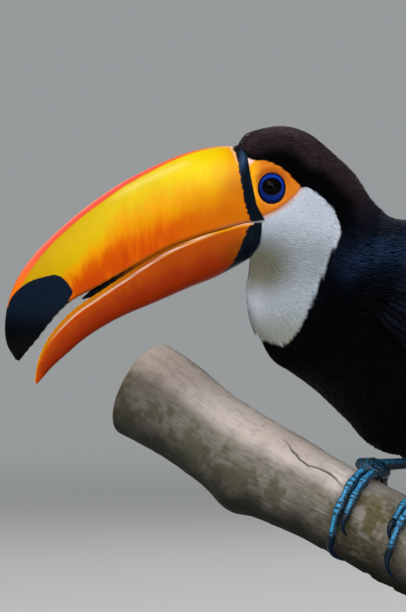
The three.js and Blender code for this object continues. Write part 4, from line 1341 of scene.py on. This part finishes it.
crownRules = {
    "lift": crownLift,
    "length": lambda s, t: headLength(s, t) * 1.15,
    "halfWide": crownHalfWide,
    "grows": darkGrows,
    "belongs": lambda s, t: ~isPale(s, t),
    "lie": cheekLie,
    "vary": 0.35,
}
bibRules = {
    "lift": bibLift,
    "length": lambda s, t: headLength(s, t) * 0.64,
    "halfWide": lambda s, t: 0.22 + 0.1 * ease(s, 1, 7),
    "grows": headGrows,
    "belongs": isPale,
    "lie": cheekLie,
    "vary": 0.035,
    "stray": 0.09,
    "rough": 0.03,
}
part = bodyFeathers(bodySkin, (-0.3, 7.2), 1.15, 0.78, "tuft", 0.07, crownRules)
showCoat("crown_tufts", part, crownFinish)
part = bodyFeathers(bodySkin, (0.0, 8.2), 1.0, 0.62, "tuft", 0.045, bibRules)
showCoat("bib_tufts", part, bibFinish)


# the mantle's and breast's short fine feathers run on over the wing's bend, and the longer ones of the
# belly and flanks end at the wing
mantleRules = {
    "length": lambda s, t: 7.0 + 4.0 * ease(s, 6.5, 9.5),
    "halfWide": lambda s, t: 0.42 + 0.75 * ease(s, 6.6, 9.4),
    "grows": lambda s, t: ((wingCover(s, t) < 0.6) | (s < 9.3)) & ~isPale(s, t),
    "belongs": lambda s, t: ~isPale(s, t),
    "vary": 0.35,
    "rough": 0.1,
}
flankRules = {
    "length": lambda s, t: 12.0 + 5 * ease(s, 12, 16),
    "halfWide": lambda s, t: 1.5 + 1.0 * ease(s, 9, 13),
    "grows": lambda s, t: wingCover(s, t) < 0.6,
    "belongs": lambda s, t: s < 20,
    "vary": 0.3,
}
part = bodyFeathers(shoulderSkin, (6.6, 10.4), 1.7, 1.2, "tuft", 0.1, mantleRules)
showCoat("mantle_tufts", part, bodyFinish)
part = bodyFeathers(shoulderSkin, (9.2, 17.0), 3.2, 2.5, "contour", 0.2, flankRules)
showCoat("flank_feathers", part, bodyFinish)


# wings and tail
def wingSkin(sign):
    # the wing's outer face, without the depth of its coat
    return lambda place, down, lift: wingPoint(place, down, lift - coatOver["wing"], sign)


def wingFeatherRows(rows):
    # one set of feathers laid on the wing as listed: each row gives root place and down, tip place and
    # down at the row's two ends, and the feathers between are evenly spaced
    start, end, wide, rise = [], [], [], []
    for row in rows:
        share = np.linspace(0, 1, row["count"])
        start.append(np.stack([mix(*row["rootPlace"], share), mix(*row["rootDown"], share)], -1))
        end.append(np.stack([mix(*row["tipPlace"], share), mix(*row["tipDown"], share)], -1))
        wide.append(np.full(row["count"], row["wide"]))
        order = share if row["over"] > 0 else 1 - share
        rise.append(np.stack([row["lift"][0] + order * 0.5, row["lift"][1] + order * 0.5], -1))
    start, end, wide, rise = (np.concatenate(values) for values in (start, end, wide, rise))
    wobble = rng.normal(0, 1, start.shape) * (0.02, 0.006)
    return start + wobble * 0.6, end + wobble, wide * rng.uniform(0.95, 1.05, len(wide)), rise


def wingRow(rootPlace, tipPlace, rootDown, tipDown, count, wide, lift, over=1):
    # over is 1 where each feather lies over the one above it and -1 where it lies under it
    return {"rootPlace": rootPlace, "tipPlace": tipPlace, "rootDown": rootDown, "tipDown": tipDown,
            "count": count, "wide": wide, "lift": lift, "over": over}


# small coverts in staggered rows, then the middle and the great coverts
coverts = [
    wingRow((1.2 + 0.16 * i,) * 2, (1.9 + 0.18 * i,) * 2, (0.04 + 0.02 * (i % 2), 0.95 + 0.02 * (i % 2)),
            (0.03, 0.97), 20, 2.9, (-0.5, 2.0))
    for i in range(8)
] + [
    wingRow((2.3, 2.1), (3.4, 3.2), (0.04, 0.9), (0.05, 0.93), 15, 5.2, (-0.5, 1.8)),
    wingRow((2.7, 2.5), (4.25, 3.9), (0.05, 0.9), (0.06, 0.93), 13, 6.0, (-0.8, 1.6)),
]
# secondaries in two lengths, then the primaries that show past them
quills = [
    wingRow((4.2, 4.4), (8.0, 7.7), (0.5, 0.98), (0.25, 0.85), 7, 7.0, (-1.2, 0.2), -1),
    wingRow((3.2, 3.0), (6.9, 5.6), (0.08, 0.92), (0.12, 0.93), 10, 9.0, (-0.9, 1.1), -1),
    wingRow((2.9, 3.0), (6.3, 6.6), (0.02, 0.16), (0.02, 0.2), 3, 9.5, (-0.4, 1.6), -1),
]


def wingUnwrap(places):
    # places on the wing laid out on the square map
    return np.stack([places[:, 0] / 8, places[:, 1]], axis=-1)


def darkColours(count, sheenShare=0.0):
    # black with a little blue, each feather a little different, and bluer by a painted sheen's share
    colours = blend(plumageColours["black"], plumageColours["blueBlack"], rng.uniform(0, 0.15, count) + sheenShare)
    return colours * rng.uniform(0.8, 1.2, (count, 1))


for side, sign in (("right", 1), ("left", -1)):
    for name, rows, shape, thick in (
        ("coverts", coverts, "contour", 0.24), ("quills", quills, "flight", 0.3)
    ):
        start, end, wide, rise = wingFeatherRows(rows)
        # the wing's feathers take the mantle's painted blue sheen at their tips
        sheen = paintedBlueSheen(*wingPoint(*end.T, 0.0, -1)[:, [0, 2]].T) * 0.8
        part = coatPart(
            wingSkin(sign), start.T, end.T, wide, thick, rise.T, shape,
            darkColours(len(wide), sheen), wingUnwrap(start),
        )
        showCoat(f"wing_{name}_{side}", part, bodyFinish)


tail = {"root": (228.0, 0, 200.25), "gap": 0.8}
tail |= {"length": 124, "slope": 31, "rootHalf": 20, "endHalf": 29, "rootThick": 14}


def tailPoint(place, across, lift=0.0):
    # the tail's middle sheet: it widens as place^0.8, droops to its sides, and its end is rounded
    place, across, lift = np.broadcast_arrays(place, across, lift)
    slope = math.radians(tail["slope"])
    run = np.array([math.cos(slope), 0, -math.sin(slope)])
    over = np.array([math.sin(slope), 0, math.cos(slope)])
    root = np.array(tail["root"]) + run * tail["gap"]
    half = mix(tail["rootHalf"], tail["endHalf"], np.maximum(place, 0) ** 0.8)
    length = tail["length"] * place * (1 - 0.12 * across**2 * place)
    arch = -0.16 * half * across**2 + lift
    side = np.array([0, 1, 0])
    flat = length[..., None] * run + arch[..., None] * over + (half * across)[..., None] * side
    return turned(root + flat)


# The tail's feathers: half width and thickness in mm, the middle ones' place across the tail and the step
# to the next pair, and how far each pair lies under the one before it.
rectrices = {"pairs": 5, "wide": 9.6, "thick": 0.32, "across": 0.085, "step": 0.148, "stack": 0.42}
order = np.repeat(np.arange(rectrices["pairs"]), 2)
sideOf = np.tile([1, -1], rectrices["pairs"])
spread = sideOf * (rectrices["across"] + order * rectrices["step"])
root = np.stack([np.full(len(order), -0.12), spread * 0.8], axis=-1)
tip = np.stack([1.0 - 0.012 * order, spread], axis=-1)
lifts = 0.9 - order * rectrices["stack"] + sideOf * 0.1
part = coatPart(
    tailPoint, root.T, tip.T, rectrices["wide"], rectrices["thick"], (lifts, lifts), "flight",
    darkColours(len(order)), np.stack([spread * 0.45 + 0.5, np.full(len(order), 0.5)], -1),
)
showCoat("tail_feathers", part, bodyFinish, replaced=["tail"])


tailCovert = {"halfWide": 4.6, "thick": 0.2, "rise": (-1.0, 0.7)}


def tailCoverts(name, above, rows, colourName, reach):
    # coverts that lie over or under the tail's root: their spines run from the body's last sections
    # to the tail's sheet, held off it by the root's thickness, which thins backwards
    def surface(place, across, lift):
        full = tail["rootThick"] / 2 * ease(place, reach + 0.25, -0.1) * np.sqrt(np.clip(1 - across**2, 0, 1))
        return tailPoint(place, across, (1 if above else -1) * (full + lift))

    start, end = [], []
    for row in range(rows):
        across = np.linspace(-0.85, 0.85, 9 - row % 2)
        place = np.full(len(across), -0.42 + 0.09 * row)
        start.append(np.stack([place, across * 0.9], -1))
        end.append(np.stack([place + 0.26 + 0.02 * row - 0.05 * across**2, across], -1))
    start, end = np.concatenate(start), np.concatenate(end)
    count = len(start)
    start = start + rng.normal(0, 1, start.shape) * (0.01, 0.02)
    end = end + rng.normal(0, 1, end.shape) * (0.012, 0.02)
    colours = np.tile(plumageColours[colourName], (count, 1)) * rng.uniform(0.88, 1.08, (count, 1))
    unwrap = np.stack([start[:, 1] * 0.4 + 0.5, start[:, 0] + 0.55], axis=-1)
    wide, thick, rise = (tailCovert[each] for each in ("halfWide", "thick", "rise"))
    part = coatPart(surface, start.T, end.T, wide, thick, rise, "contour", colours, unwrap)
    showCoat(name, part, rumpFinish)


tailCoverts("rump_coverts", True, 8, "white", 0.2)
tailCoverts("vent_coverts", False, 8, "crimson", 0.16)


# thighs
thighCoat = {"reach": (0.12, 0.93), "pitch": 3.2, "spacing": 2.8, "long": (8.5, 11.5)}
thighCoat |= {"halfWide": (1.9, 2.6), "thick": 0.2, "rise": (-0.2, 2.5)}
for side in legs:
    def surface(place, turn, lift, side=side):
        return thighPoint(side, place, turn, lift - coatOver["thigh"])

    place, turn = scatter(surface, thighCoat["reach"], thighCoat["pitch"], thighCoat["spacing"])
    count = len(place)
    long = rng.uniform(*thighCoat["long"], count)
    end = np.minimum(place + long / measures(surface, place, turn)[0], 1.1)
    endTurn = turn + rng.normal(0, 0.02, count)
    halfWide = rng.uniform(*thighCoat["halfWide"], count)
    part = coatPart(
        surface, (place, turn), (end, endTurn), halfWide, thighCoat["thick"], thighCoat["rise"],
        "contour", darkColours(count) * 0.8, np.stack([turn % 1, place], axis=-1),
    )
    showCoat(f"thigh_feathers_{side}", part, bodyFinish)
print("wings, tail and thighs made")


# feet
# A toe runs round the branch between two angles from its top; out and drift are its place along
# the branch and its shift by the end, claw is the claw's angle round the branch and hook its shift.
toes = {
    "outer_front": {"from": 8, "to": 109, "out": 2.4, "drift": 7.4, "radius": 2.8, "claw": 33, "hook": 8.0},
    "inner_front": {"from": 8, "to": 77, "out": -3.2, "drift": 6.0, "radius": 2.8, "claw": 22, "hook": 4.5},
    "outer_rear": {"from": -8, "to": -112, "out": 4.0, "drift": -6.0, "radius": 2.7, "claw": 31, "hook": 4.0},
    "inner_rear": {"from": -8, "to": -72, "out": -4.0, "drift": -5.0, "radius": 2.6, "claw": 22, "hook": 4.1},
}
claw = {"radius": 2.8, "tip": 0.4, "standOff": 2.4}
toeJoints = 3
# A bone's plates: where they end along it, their groove and corner, and how far the long and the short
# ones reach down its sides, all in shares of the bone.
scute = {"ends": (0.0, 0.19, 0.81, 1.0), "groove": 0.02, "corner": 0.05, "long": 0.155, "short": 0.18}
# The tarsus's radii in mm and how many plates it has in front.
tarsus = {"foot": 4.3, "ankle": 4.9, "waist": 0.8, "plates": 9}


def pathFrame(path, share):
    # a path's points with their outward and sideways directions; outward is away from the branch
    points = path(share)
    run = unit(path(share + 0.004) - path(share - 0.004))
    fromAxis = points - np.array(branch["crossing"])
    outward = fromAxis - (fromAxis @ branchRun)[..., None] * branchRun
    outward = unit(outward - (outward * run).sum(-1, keepdims=True) * run)
    return points, outward, np.cross(run, outward)


def toePath(side, toe):
    foot = legs[side]
    place = foot["along"] - foot["sign"] * toe["out"]

    # its angle round the branch and its place along it change evenly, and it is lifted by its radius
    def path(share):
        angle = np.radians(mix(toe["from"], toe["to"], share) - foot["roll"])
        lift = leg["clear"] + toe["radius"] * mix(1.3, 1, share)
        return branchPoint(place + toe["drift"] * share, angle, lift)

    return path


def scutes(share, aside):
    # one long plate between two short ones on each toe bone. edgeGap is how far a place is inside its
    # plate's round-cornered outline, in shares of a bone, and the plates rise from 0 in the grooves to 1
    edges, corner = np.array(scute["ends"]), scute["corner"]
    bone = (share * toeJoints) % 1
    index = np.clip(np.searchsorted(edges, bone, side="right") - 1, 0, 2)
    start, end = edges[index], edges[index + 1]
    endGap = np.minimum(bone - start, end - bone) - scute["groove"]
    sideGap = np.where(index == 1, scute["long"], scute["short"]) - aside * 0.28
    edgeGap = corner - np.hypot(np.minimum(endGap, corner) - corner, np.minimum(sideGap, corner) - corner)
    return ease(edgeGap, 0.0, 0.03)


def makeToe(side, toe):
    # a tube round the branch, swollen at each joint, its upper side stepped into plates, its underside
    # full where it presses the bark
    share = np.linspace(-0.04, 1, 220)[:, None]
    points, outward, across = pathFrame(toePath(side, toe), share[:, 0])
    spin = onceRound(48)
    swell = 1 + 0.14 * np.cos(share * toeJoints * 2 * np.pi)
    taper = mix(1.12, 0.82, share) * np.sqrt(np.clip((1.005 - share) / 0.06, 0.1, 1))
    radius = toe["radius"] * swell * taper * 1.06
    up = np.cos(spin)
    # painted shade: top falls to 0 under the toe, where the material paints it near black
    top = ease(up, -0.5, 0.4)
    plate = scutes(share, np.abs(np.sin(spin))) * (up > 0)
    height = radius * np.where(up > 0, 0.93 + 0.12 * plate, 1.0)
    wide = radius * (0.93 + 0.06 * plate)
    rings = ringsRound(points[:, None], outward[:, None], across[:, None], height, wide, spin)
    granular = noise(rings, 0.8, 41) * 0.16 * (1 - plate)
    rings = rings + unit(rings - points[:, None]) * granular[..., None]
    return tubePart(rings, fields={"plate": plate, "top": top})


def makeTarsus(side):
    # from the foot's pad up to the ankle, waisted, with broad plates in front and grains behind
    foot, ankle = legs[side]["foot"] + branchUp * 1.5, legs[side]["ankle"]
    share = np.linspace(0.02, 1.02, 120)[:, None]
    spin = onceRound(40)
    run = unit(ankle - foot)
    across = unit(np.cross((0, 0, 1), run))
    over = np.cross(run, across)
    radius = mix(tarsus["foot"], tarsus["ankle"], share**3)
    radius = radius - tarsus["waist"] * np.sin(np.clip(share, 0, 1) * np.pi)
    top = ease(np.sin(spin), 0.0, 0.5)
    inside = (share * tarsus["plates"]) % 1
    plate = ease(np.minimum(inside, 1 - inside), 0.02, 0.12)
    radius = radius * (0.98 + 0.04 * (plate - 0.5) * top)
    rings = ringsRound(mix(foot, ankle, share[..., None]), across, over, radius * 0.92, radius, spin)
    granular = noise(rings, 1.0, 42) * 0.12 * (1 - top)
    rings = rings + unit(rings - rings.mean(1, keepdims=True)) * granular[..., None]
    # painted shadow: the tarsus lies in the belly's shadow, so its plates and top are dimmed
    return tubePart(rings, fields={"plate": plate * top * 0.45, "top": top * 0.7})


def makePad(side):
    # an egg-shaped pad over the branch, lumpy and grained
    foot = legs[side]["foot"]
    toAnkle = (legs[side]["ankle"] - foot) * (1, 1, 0)
    flat = unit(toAnkle - (toAnkle @ branchUp) * branchUp)
    across = np.cross(branchUp, flat)
    polar = np.linspace(0.03, np.pi - 0.03, 70)[:, None]
    spin = onceRound(64)
    shape = np.stack([
        np.cos(polar) * np.ones_like(spin), np.sin(polar) * np.cos(spin), np.sin(polar) * np.sin(spin)
    ], axis=-1)
    local = shape * leg["pad"]
    lumps = noise(local + 40, 3.4, 43) * 0.9 + noise(local + 40, 1.5, 44) * 0.45
    local = local * (1 + ((lumps + noise(local + 40, 0.8, 45) * 0.16) / 9)[..., None])
    rings = foot + local[..., :1] * flat + local[..., 1:2] * across + local[..., 2:] * branchUp
    plate = ease(lumps, -0.1, 0.7) * 0.6
    # painted light and shade: the pad is lit on its upper front and darker underneath and at its rear
    lit = ease(shape[..., 2], -0.9, 0.1) * (0.15 + 0.85 * ease(shape[..., 0], 0.2, -0.6))
    return tubePart(rings, fields={"plate": plate * lit, "top": lit})


def makeClaw(side, toe):
    # a curved cone from the toe's end, deeper than wide, its tip coming back to the bark
    foot = legs[side]
    sign = np.sign(toe["to"])
    place = foot["along"] - foot["sign"] * toe["out"] + toe["drift"]

    def path(share):
        angle = np.radians(toe["to"] + sign * 2 - foot["roll"] + sign * toe["claw"] * share)
        arch = claw["standOff"] * np.sin(share * np.pi)
        lift = leg["clear"] + mix(claw["radius"], claw["tip"], share) + arch
        return branchPoint(place + sign * toe["hook"] * share**2, angle, lift)

    share = np.linspace(-0.1, 1, 60)[:, None]
    points, outward, across = pathFrame(path, share[:, 0])
    radius = mix(claw["radius"], claw["tip"], np.clip(share, 0, 1) ** 1.3)
    middles, over, aside = (each[:, None] for each in (points, outward, across))
    return tubePart(ringsRound(middles, over, aside, radius, radius * 0.82, onceRound(24)))


# scaled foot: horny light-blue plates on top, greyer grainy skin between, and painted shade, near black,
# beneath, where the top field falls; the tarsus and the pad are dimmed by the same painted shade
scuteMaterial = newMaterial("horny light blue foot scales")
place = placeNode(scuteMaterial)
cloud = cloudNode(scuteMaterial, place, 560.0, 5.0)
grains = cellNode(scuteMaterial, place, 950.0)
plateColour = mixNode(scuteMaterial, rangeNode(scuteMaterial, cloud, (0.27, 0.73)), "#043a64", "#3fa6d6")
sideColour = mixNode(scuteMaterial, cloud, "#0a3654", "#4a7f9a")
grained = mixNode(scuteMaterial, rangeNode(scuteMaterial, grains, (0.25, 0.6)), sideColour, "#08131d")
# painted shade: near black where the top field is low
lower = mixNode(scuteMaterial, fieldNode(scuteMaterial, "top"), "#081824", grained)
finishWith(scuteMaterial, {
    "Base Color": mixNode(scuteMaterial, fieldNode(scuteMaterial, "plate"), lower, plateColour),
    "Normal": bumpNode(scuteMaterial, grains, 0.5, 0.0002),
    "Roughness": 0.42,
    "Specular IOR Level": 0.3,
})

# claws: dense black horn, worn to a slight shine
clawMaterial = newMaterial("black claw horn")
streak = cloudNode(clawMaterial, placeNode(clawMaterial), 500.0, 3.0)
finishWith(clawMaterial, {
    "Base Color": mixNode(clawMaterial, streak, "#03080f", "#0a2236"),
    "Roughness": 0.3,
    "Specular IOR Level": 0.2,
})

for side in legs:
    parts = [makePad(side), makeTarsus(side)] + [makeToe(side, toe) for toe in toes.values()]
    replaced = [f"foot_{side}", f"tarsus_{side}"]
    makePiece(f"scaled_foot_{side}", joinParts(parts), scuteMaterial, replaced)
    for name, toe in toes.items():
        node = f"claw_{side}_{name}"
        makePiece(f"horn_{node}", makeClaw(side, toe), clawMaterial, [node])
print("feet made")


# perch
bark = {
    "furrow": 0.7, "lump": 1.3, "crack": 1.3, "flake": 0.7,
    # the long crack: places along the branch and angles from its top
    "crackRun": [
        (-86, 0.4), (-79, 0.46), (-65, 0.66), (-58, 0.7), (-51, 0.65), (-43, 0.62), (-35, 0.71), (-25, 0.85),
    ],
    "girth": 28,  # radius that the bark's pattern is laid out on
    # a cut end's rings: their shares of the radius and how far they stand past the cut
    "endRings": ((0.985, 0.7), (0.95, 1.0), (0.8, 1.0), (0.6, 1.0), (0.4, 1.0), (0.2, 1.0)),
}


def makeBranch():
    # the bowed tube with bark: long furrows from noise stretched along it, broad lumps, one long
    # crack, flakes near the feet, and a frayed lower edge; each cut end is closed with a rounded rim
    rows, columns = 340, 270
    reach = np.linspace(-branch["ahead"], branch["behind"], rows)[:, None]
    angle = onceRound(columns)
    around = bark["girth"] * np.cos(angle), bark["girth"] * np.sin(angle)
    whole = np.stack(np.broadcast_arrays(reach, *around), axis=-1)
    local = whole * (0.22, 1, 1)
    furrows = np.abs(noise(local, 2.6, 51)) * 0.6 + np.abs(noise(local, 1.2, 52)) * 0.4
    lumps = noise(whole, 17.0, 53)
    crackAngle = np.interp(reach, *np.transpose(bark["crackRun"])) + noise(whole * (1, 0, 0), 2.5, 50) * 0.015
    crack = np.exp(-(((angle - crackAngle) * bark["girth"] / 0.75) ** 2))
    crack = crack * ease(np.abs(reach + 56), 30, 16)
    nearFeet = bell(reach, -2, 34) * ease(np.cos(angle - 1.5), 0.1, 0.9)
    flakes = np.maximum(noise(whole * (0.5, 1, 1), 2.2, 54), 0) * nearFeet
    fray = np.maximum(noise(whole * (0.7, 1, 1), 3.0, 55), 0) * ease(reach, -60, 0)
    fray = fray * np.exp(-((np.cos(angle - 2.75) - 1) / 0.02) ** 2)
    grip = 1 - 0.75 * bell(np.abs(reach + 6), 18, 12)
    relief = bark["furrow"] * (furrows - 0.85) + bark["lump"] * lumps * 0.5 * grip
    relief = relief - bark["crack"] * crack + bark["flake"] * flakes * 1.4 + fray * 1.6
    rings = branchPoint(reach, angle, relief - 0.35)
    patches = noise(whole, 15.0, 56) * 0.5 + noise(whole, 6.5, 59) + noise(whole, 2.8, 61) * 0.7
    # pale on top: partly wear and partly painted light from above
    worn = ease(np.cos(angle - 0.42) + patches * 0.035, 0.7, 1.0) * ease(reach, -12, -34)
    # darker blotches, more of them down the sides and along the front's middle: partly painted shade
    middle = 0.6 * np.exp((np.cos(angle - 1.6) - 1) / 0.07) * ease(reach, -45, -75)
    blotch = patches - np.cos(angle - 0.3) * 0.5 + middle
    blotch = ease(blotch, -0.25, 0.85) * ease(reach, -12, -34)
    # painted shade: darker underneath
    damp = ease(np.cos(angle - 0.2) + noise(whole, 12.0, 60) * 0.2, 0.7, -0.75)
    moss = nearFeet * ease(noise(whole, 9.0, 57) + noise(whole, 2.5, 58) * 0.6, -0.45, 0.4)
    fields = {"furrow": furrows, "worn": worn, "moss": moss, "damp": damp, "crack": crack}
    fields |= {"blotch": blotch, "cutEnd": 0 * worn}
    ends = []
    for row, outward in ((0, -1), (-1, 1)):
        middle = rings[row].mean(0)
        ends.append(np.stack([
            mix(middle, rings[row], share) + branchRun * outward * past for share, past in bark["endRings"]
        ]))
    rings = np.concatenate([ends[0][::-1], rings, ends[1]])
    capped = {}
    for name, values in fields.items():
        values = np.broadcast_to(values, (rows, columns))
        fill = np.full((len(bark["endRings"]), columns), float(name == "cutEnd"))
        capped[name] = np.concatenate([fill, values, fill])
    return tubePart(rings, fields=capped)


# weathered branch: grey dry bark, fibrous and cracked along the grain, pale on top from wear and painted
# light, darker down the sides and underneath and in its furrows and crack by painted shade, with greenish
# moss and frayed fibres by the feet; cut ends show pale ringed wood
barkMaterial = newMaterial("weathered grey bark")
place = placeNode(barkMaterial)
tilt = (0, math.radians(branch["slope"]), -math.radians(branch["swing"]))
grainPlace = mapNode(barkMaterial, place, (1, 1, 1), vector_type="TEXTURE", Rotation=tilt)
grainPlace = mapNode(barkMaterial, grainPlace, (90.0, 900.0, 900.0))
fibre = cloudNode(barkMaterial, grainPlace, 1.0, 6.0, Roughness=0.6)
colour = mixNode(barkMaterial, cloudNode(barkMaterial, place, 38.0, 6.0), "#3a382f", "#827b6d")
colour = mixNode(barkMaterial, rangeNode(barkMaterial, fibre, (0.22, 0.86)), colour, "#9c948a")
mossColour = mixNode(barkMaterial, fibre, "#211f0e", "#716845")
for name, tint in (("blotch", "#64624f"), ("worn", "#d6c8bf"), ("moss", mossColour), ("damp", "#1c1b12")):
    colour = mixNode(barkMaterial, fieldNode(barkMaterial, name), colour, tint)
# painted shade: the colour darkens in the furrows, and the crack is painted near black
deep = rangeNode(barkMaterial, fieldNode(barkMaterial, "furrow"), (0.02, 0.25), (0.78, 1))
colour = scaleNode(barkMaterial, colour, deep)
colour = mixNode(barkMaterial, fieldNode(barkMaterial, "crack"), colour, "#17130e")
crossing = tuple((birdPlace + branch["crossing"]) * mm)
ringPlace = mapNode(barkMaterial, place, (1, 1, 1), vector_type="TEXTURE", Rotation=tilt, Location=crossing)
rings = addNode(barkMaterial, "ShaderNodeTexWave", {
    "Vector": ringPlace, "wave_type": "RINGS", "rings_direction": "X",
    "Scale": 110.0, "Distortion": 2.5, "Detail": 3.0, "Detail Scale": 0.4,
}, "Fac")
ringColour = mixNode(barkMaterial, rings, "#a98a64", "#cdb48c")
finishWith(barkMaterial, {
    "Base Color": mixNode(barkMaterial, fieldNode(barkMaterial, "cutEnd"), colour, ringColour),
    "Normal": bumpNode(barkMaterial, fibre, 0.7, 0.0008),
    "Roughness": 0.88,
    "Specular IOR Level": 0.25,
})
makePiece("branch_bark", makeBranch(), barkMaterial, ["perch"])
print("perch made")


# stand
stand = {"radius": 125.0, "height": 16.0, "round": 3.0, "rod": 5.0, "collar": 11.0, "collarHeight": 6.0}
stand |= {"collarRound": 1.5, "rodEnd": 8.0}  # the rod ends this far under the branch's middle line
rodPlaces = {"front": 28, "rear": 78}  # mm along the branch from its crossing


def turnedPiece(profile, middle, around=120):
    # a profile of radius and height turned about an upright axis
    radius, height = np.array(profile, float).T
    spin = onceRound(around)
    x = middle[0] + radius[:, None] * np.cos(spin)
    y = middle[1] + radius[:, None] * np.sin(spin)
    return tubePart(np.stack([x, y, height[:, None] + 0 * spin], axis=-1))


def roundedEdge(radius, height, size):
    # a quarter round at a profile's outer corner, from its side up to its top
    turn = np.linspace(0, np.pi / 2, 7)
    return [(radius - size + size * math.cos(t), height - size + size * math.sin(t)) for t in turn]


# stand base: turned hardwood disc, dark stain under a satin varnish
woodMaterial = newMaterial("dark varnished hardwood")
grain = mapNode(woodMaterial, placeNode(woodMaterial), (18.0, 240.0, 60.0))
grain = rangeNode(woodMaterial, cloudNode(woodMaterial, grain, 1.0, 8.0, Distortion=0.6), (0.3, 0.7))
finishWith(woodMaterial, {
    "Base Color": mixNode(woodMaterial, grain, "#1c0f09", "#4b2c1a"),
    "Roughness": 0.35,
    "Coat Weight": 0.5,
    "Coat Roughness": 0.2,
})

# rods: satin stainless steel, turned, with fine rings round them
steelMaterial = newMaterial("satin turned steel")
lines = mapNode(steelMaterial, placeNode(steelMaterial), (40.0, 40.0, 2500.0))
lines = cloudNode(steelMaterial, lines, 1.0)
finishWith(steelMaterial, {
    "Base Color": mixNode(steelMaterial, lines, "#8b8f93", "#b0b3b6"),
    "Roughness": rangeNode(steelMaterial, lines, to=(0.25, 0.42)),
    "Metallic": 1.0,
})

baseMiddle = -birdPlace
edge = roundedEdge(stand["radius"], stand["height"], stand["round"])
foot = [(radius, stand["height"] - height) for radius, height in edge[::-1]]
profile = [(30, 0)] + foot + edge + [(118, stand["height"]), (30, stand["height"])]
makePiece("base_disc", turnedPiece(profile, baseMiddle, 200), woodMaterial, ["stand_base"])
for name, place in rodPlaces.items():
    top = np.array(branch["crossing"]) + branchRun * place
    collarTop = stand["height"] + stand["collarHeight"]
    profile = [(stand["collar"], stand["height"])]
    profile += roundedEdge(stand["collar"], collarTop, stand["collarRound"])
    profile += [(stand["rod"], collarTop), (stand["rod"], top[2] - stand["rodEnd"])]
    rod = turnedPiece(profile, top, 64)
    makePiece(f"steel_rod_{name}", rod, steelMaterial, [f"stand_rod_{name}"])
print("stand made")


# floor and light
backdrop = {"colour": "#bcbfc1", "strength": 0.62, "frontShare": 0.2, "floorHalf": 30}
backdrop |= {"fadeFrom": 0.6, "fadeTo": 5.0}  # metres from the middle


def backdropLevel(owner, direction):
    # the room's brightness by direction: full behind the bird, falling to a dim share in front of it
    inFront = addNode(owner, "ShaderNodeSeparateXYZ", {"Vector": direction}, "Y")
    levels = (backdrop["strength"] * backdrop["frontShare"], backdrop["strength"])
    return rangeNode(owner, inFront, (-0.5, 0.3), levels, "SMOOTHSTEP")


# plain pale floor that fades into the backdrop with distance, so that no horizon shows
floorMaterial = newMaterial("plain pale studio floor")
finishWith(floorMaterial, {
    "Base Color": rgba("#d4d4d2"),
    "Roughness": 0.9,
    "Specular IOR Level": 0.1,
})
place = placeNode(floorMaterial)
away = addNode(floorMaterial, "ShaderNodeVectorMath", {"operation": "LENGTH", 0: place}, "Value")
fade = rangeNode(floorMaterial, away, (backdrop["fadeFrom"], backdrop["fadeTo"]), kind="SMOOTHSTEP")
toward = addNode(floorMaterial, "ShaderNodeVectorMath", {"operation": "NORMALIZE", 0: place})
glow = addNode(floorMaterial, "ShaderNodeEmission", {
    "Color": rgba(backdrop["colour"]), "Strength": backdropLevel(floorMaterial, toward),
})
floorNodes = floorMaterial.node_tree.nodes
plain = floorNodes["Principled BSDF"].outputs["BSDF"]
faded = addNode(floorMaterial, "ShaderNodeMixShader", {0: fade, 1: plain, 2: glow})
setInputs(floorMaterial, floorNodes["Material Output"], {"Surface": faded})
half = backdrop["floorHalf"]
corners = [(-half, -half, 0), (half, -half, 0), (half, half, 0), (-half, half, 0)]
floorMesh = bpy.data.meshes.new("floor")
floorMesh.from_pydata(corners, [], [[0, 1, 2, 3]])
floorMesh.materials.append(floorMaterial)
floor = bpy.data.objects.new("floor", floorMesh)
bpy.context.scene.collection.objects.link(floor)

world = bpy.data.worlds.new("studio")
world.use_nodes = True
around = addNode(world, "ShaderNodeTexCoord", output="Generated")
setInputs(world, world.node_tree.nodes["Background"], {
    "Color": rgba(backdrop["colour"]), "Strength": backdropLevel(world, around),
})
bpy.context.scene.world = world

lamps = {  # where each soft light stands, its width and height in metres and its power
    "key": {"place": (-1.0, -1.4, 1.8), "size": (1.8, 1.8), "power": 36, "colour": "#fffaf2"},
    "window": {"place": (0.2, -2.0, 2.1), "size": (2.2, 0.9), "power": 36, "colour": "#dfeaff"},
    "fill": {"place": (1.0, -2.0, 0.5), "size": (1.6, 0.8), "power": 16, "colour": "#ffffff"},
    "back": {"place": (0.5, 1.8, 1.6), "size": (1.5, 1.5), "power": 14, "colour": "#ffffff"},
}
target = np.array([-0.1, -0.03, 0.27])
for name, lamp in lamps.items():
    light = bpy.data.objects.new(name, bpy.data.lights.new(name, "AREA"))
    light.data.shape = "RECTANGLE"
    light.data.size, light.data.size_y = lamp["size"]
    light.data.color = rgba(lamp["colour"])[:3]
    light.data.energy = lamp["power"]
    light.location = lamp["place"]
    light.rotation_euler = Vector(target - np.array(lamp["place"])).to_track_quat("-Z", "Y").to_euler()
    bpy.context.scene.collection.objects.link(light)

print("scene ready")
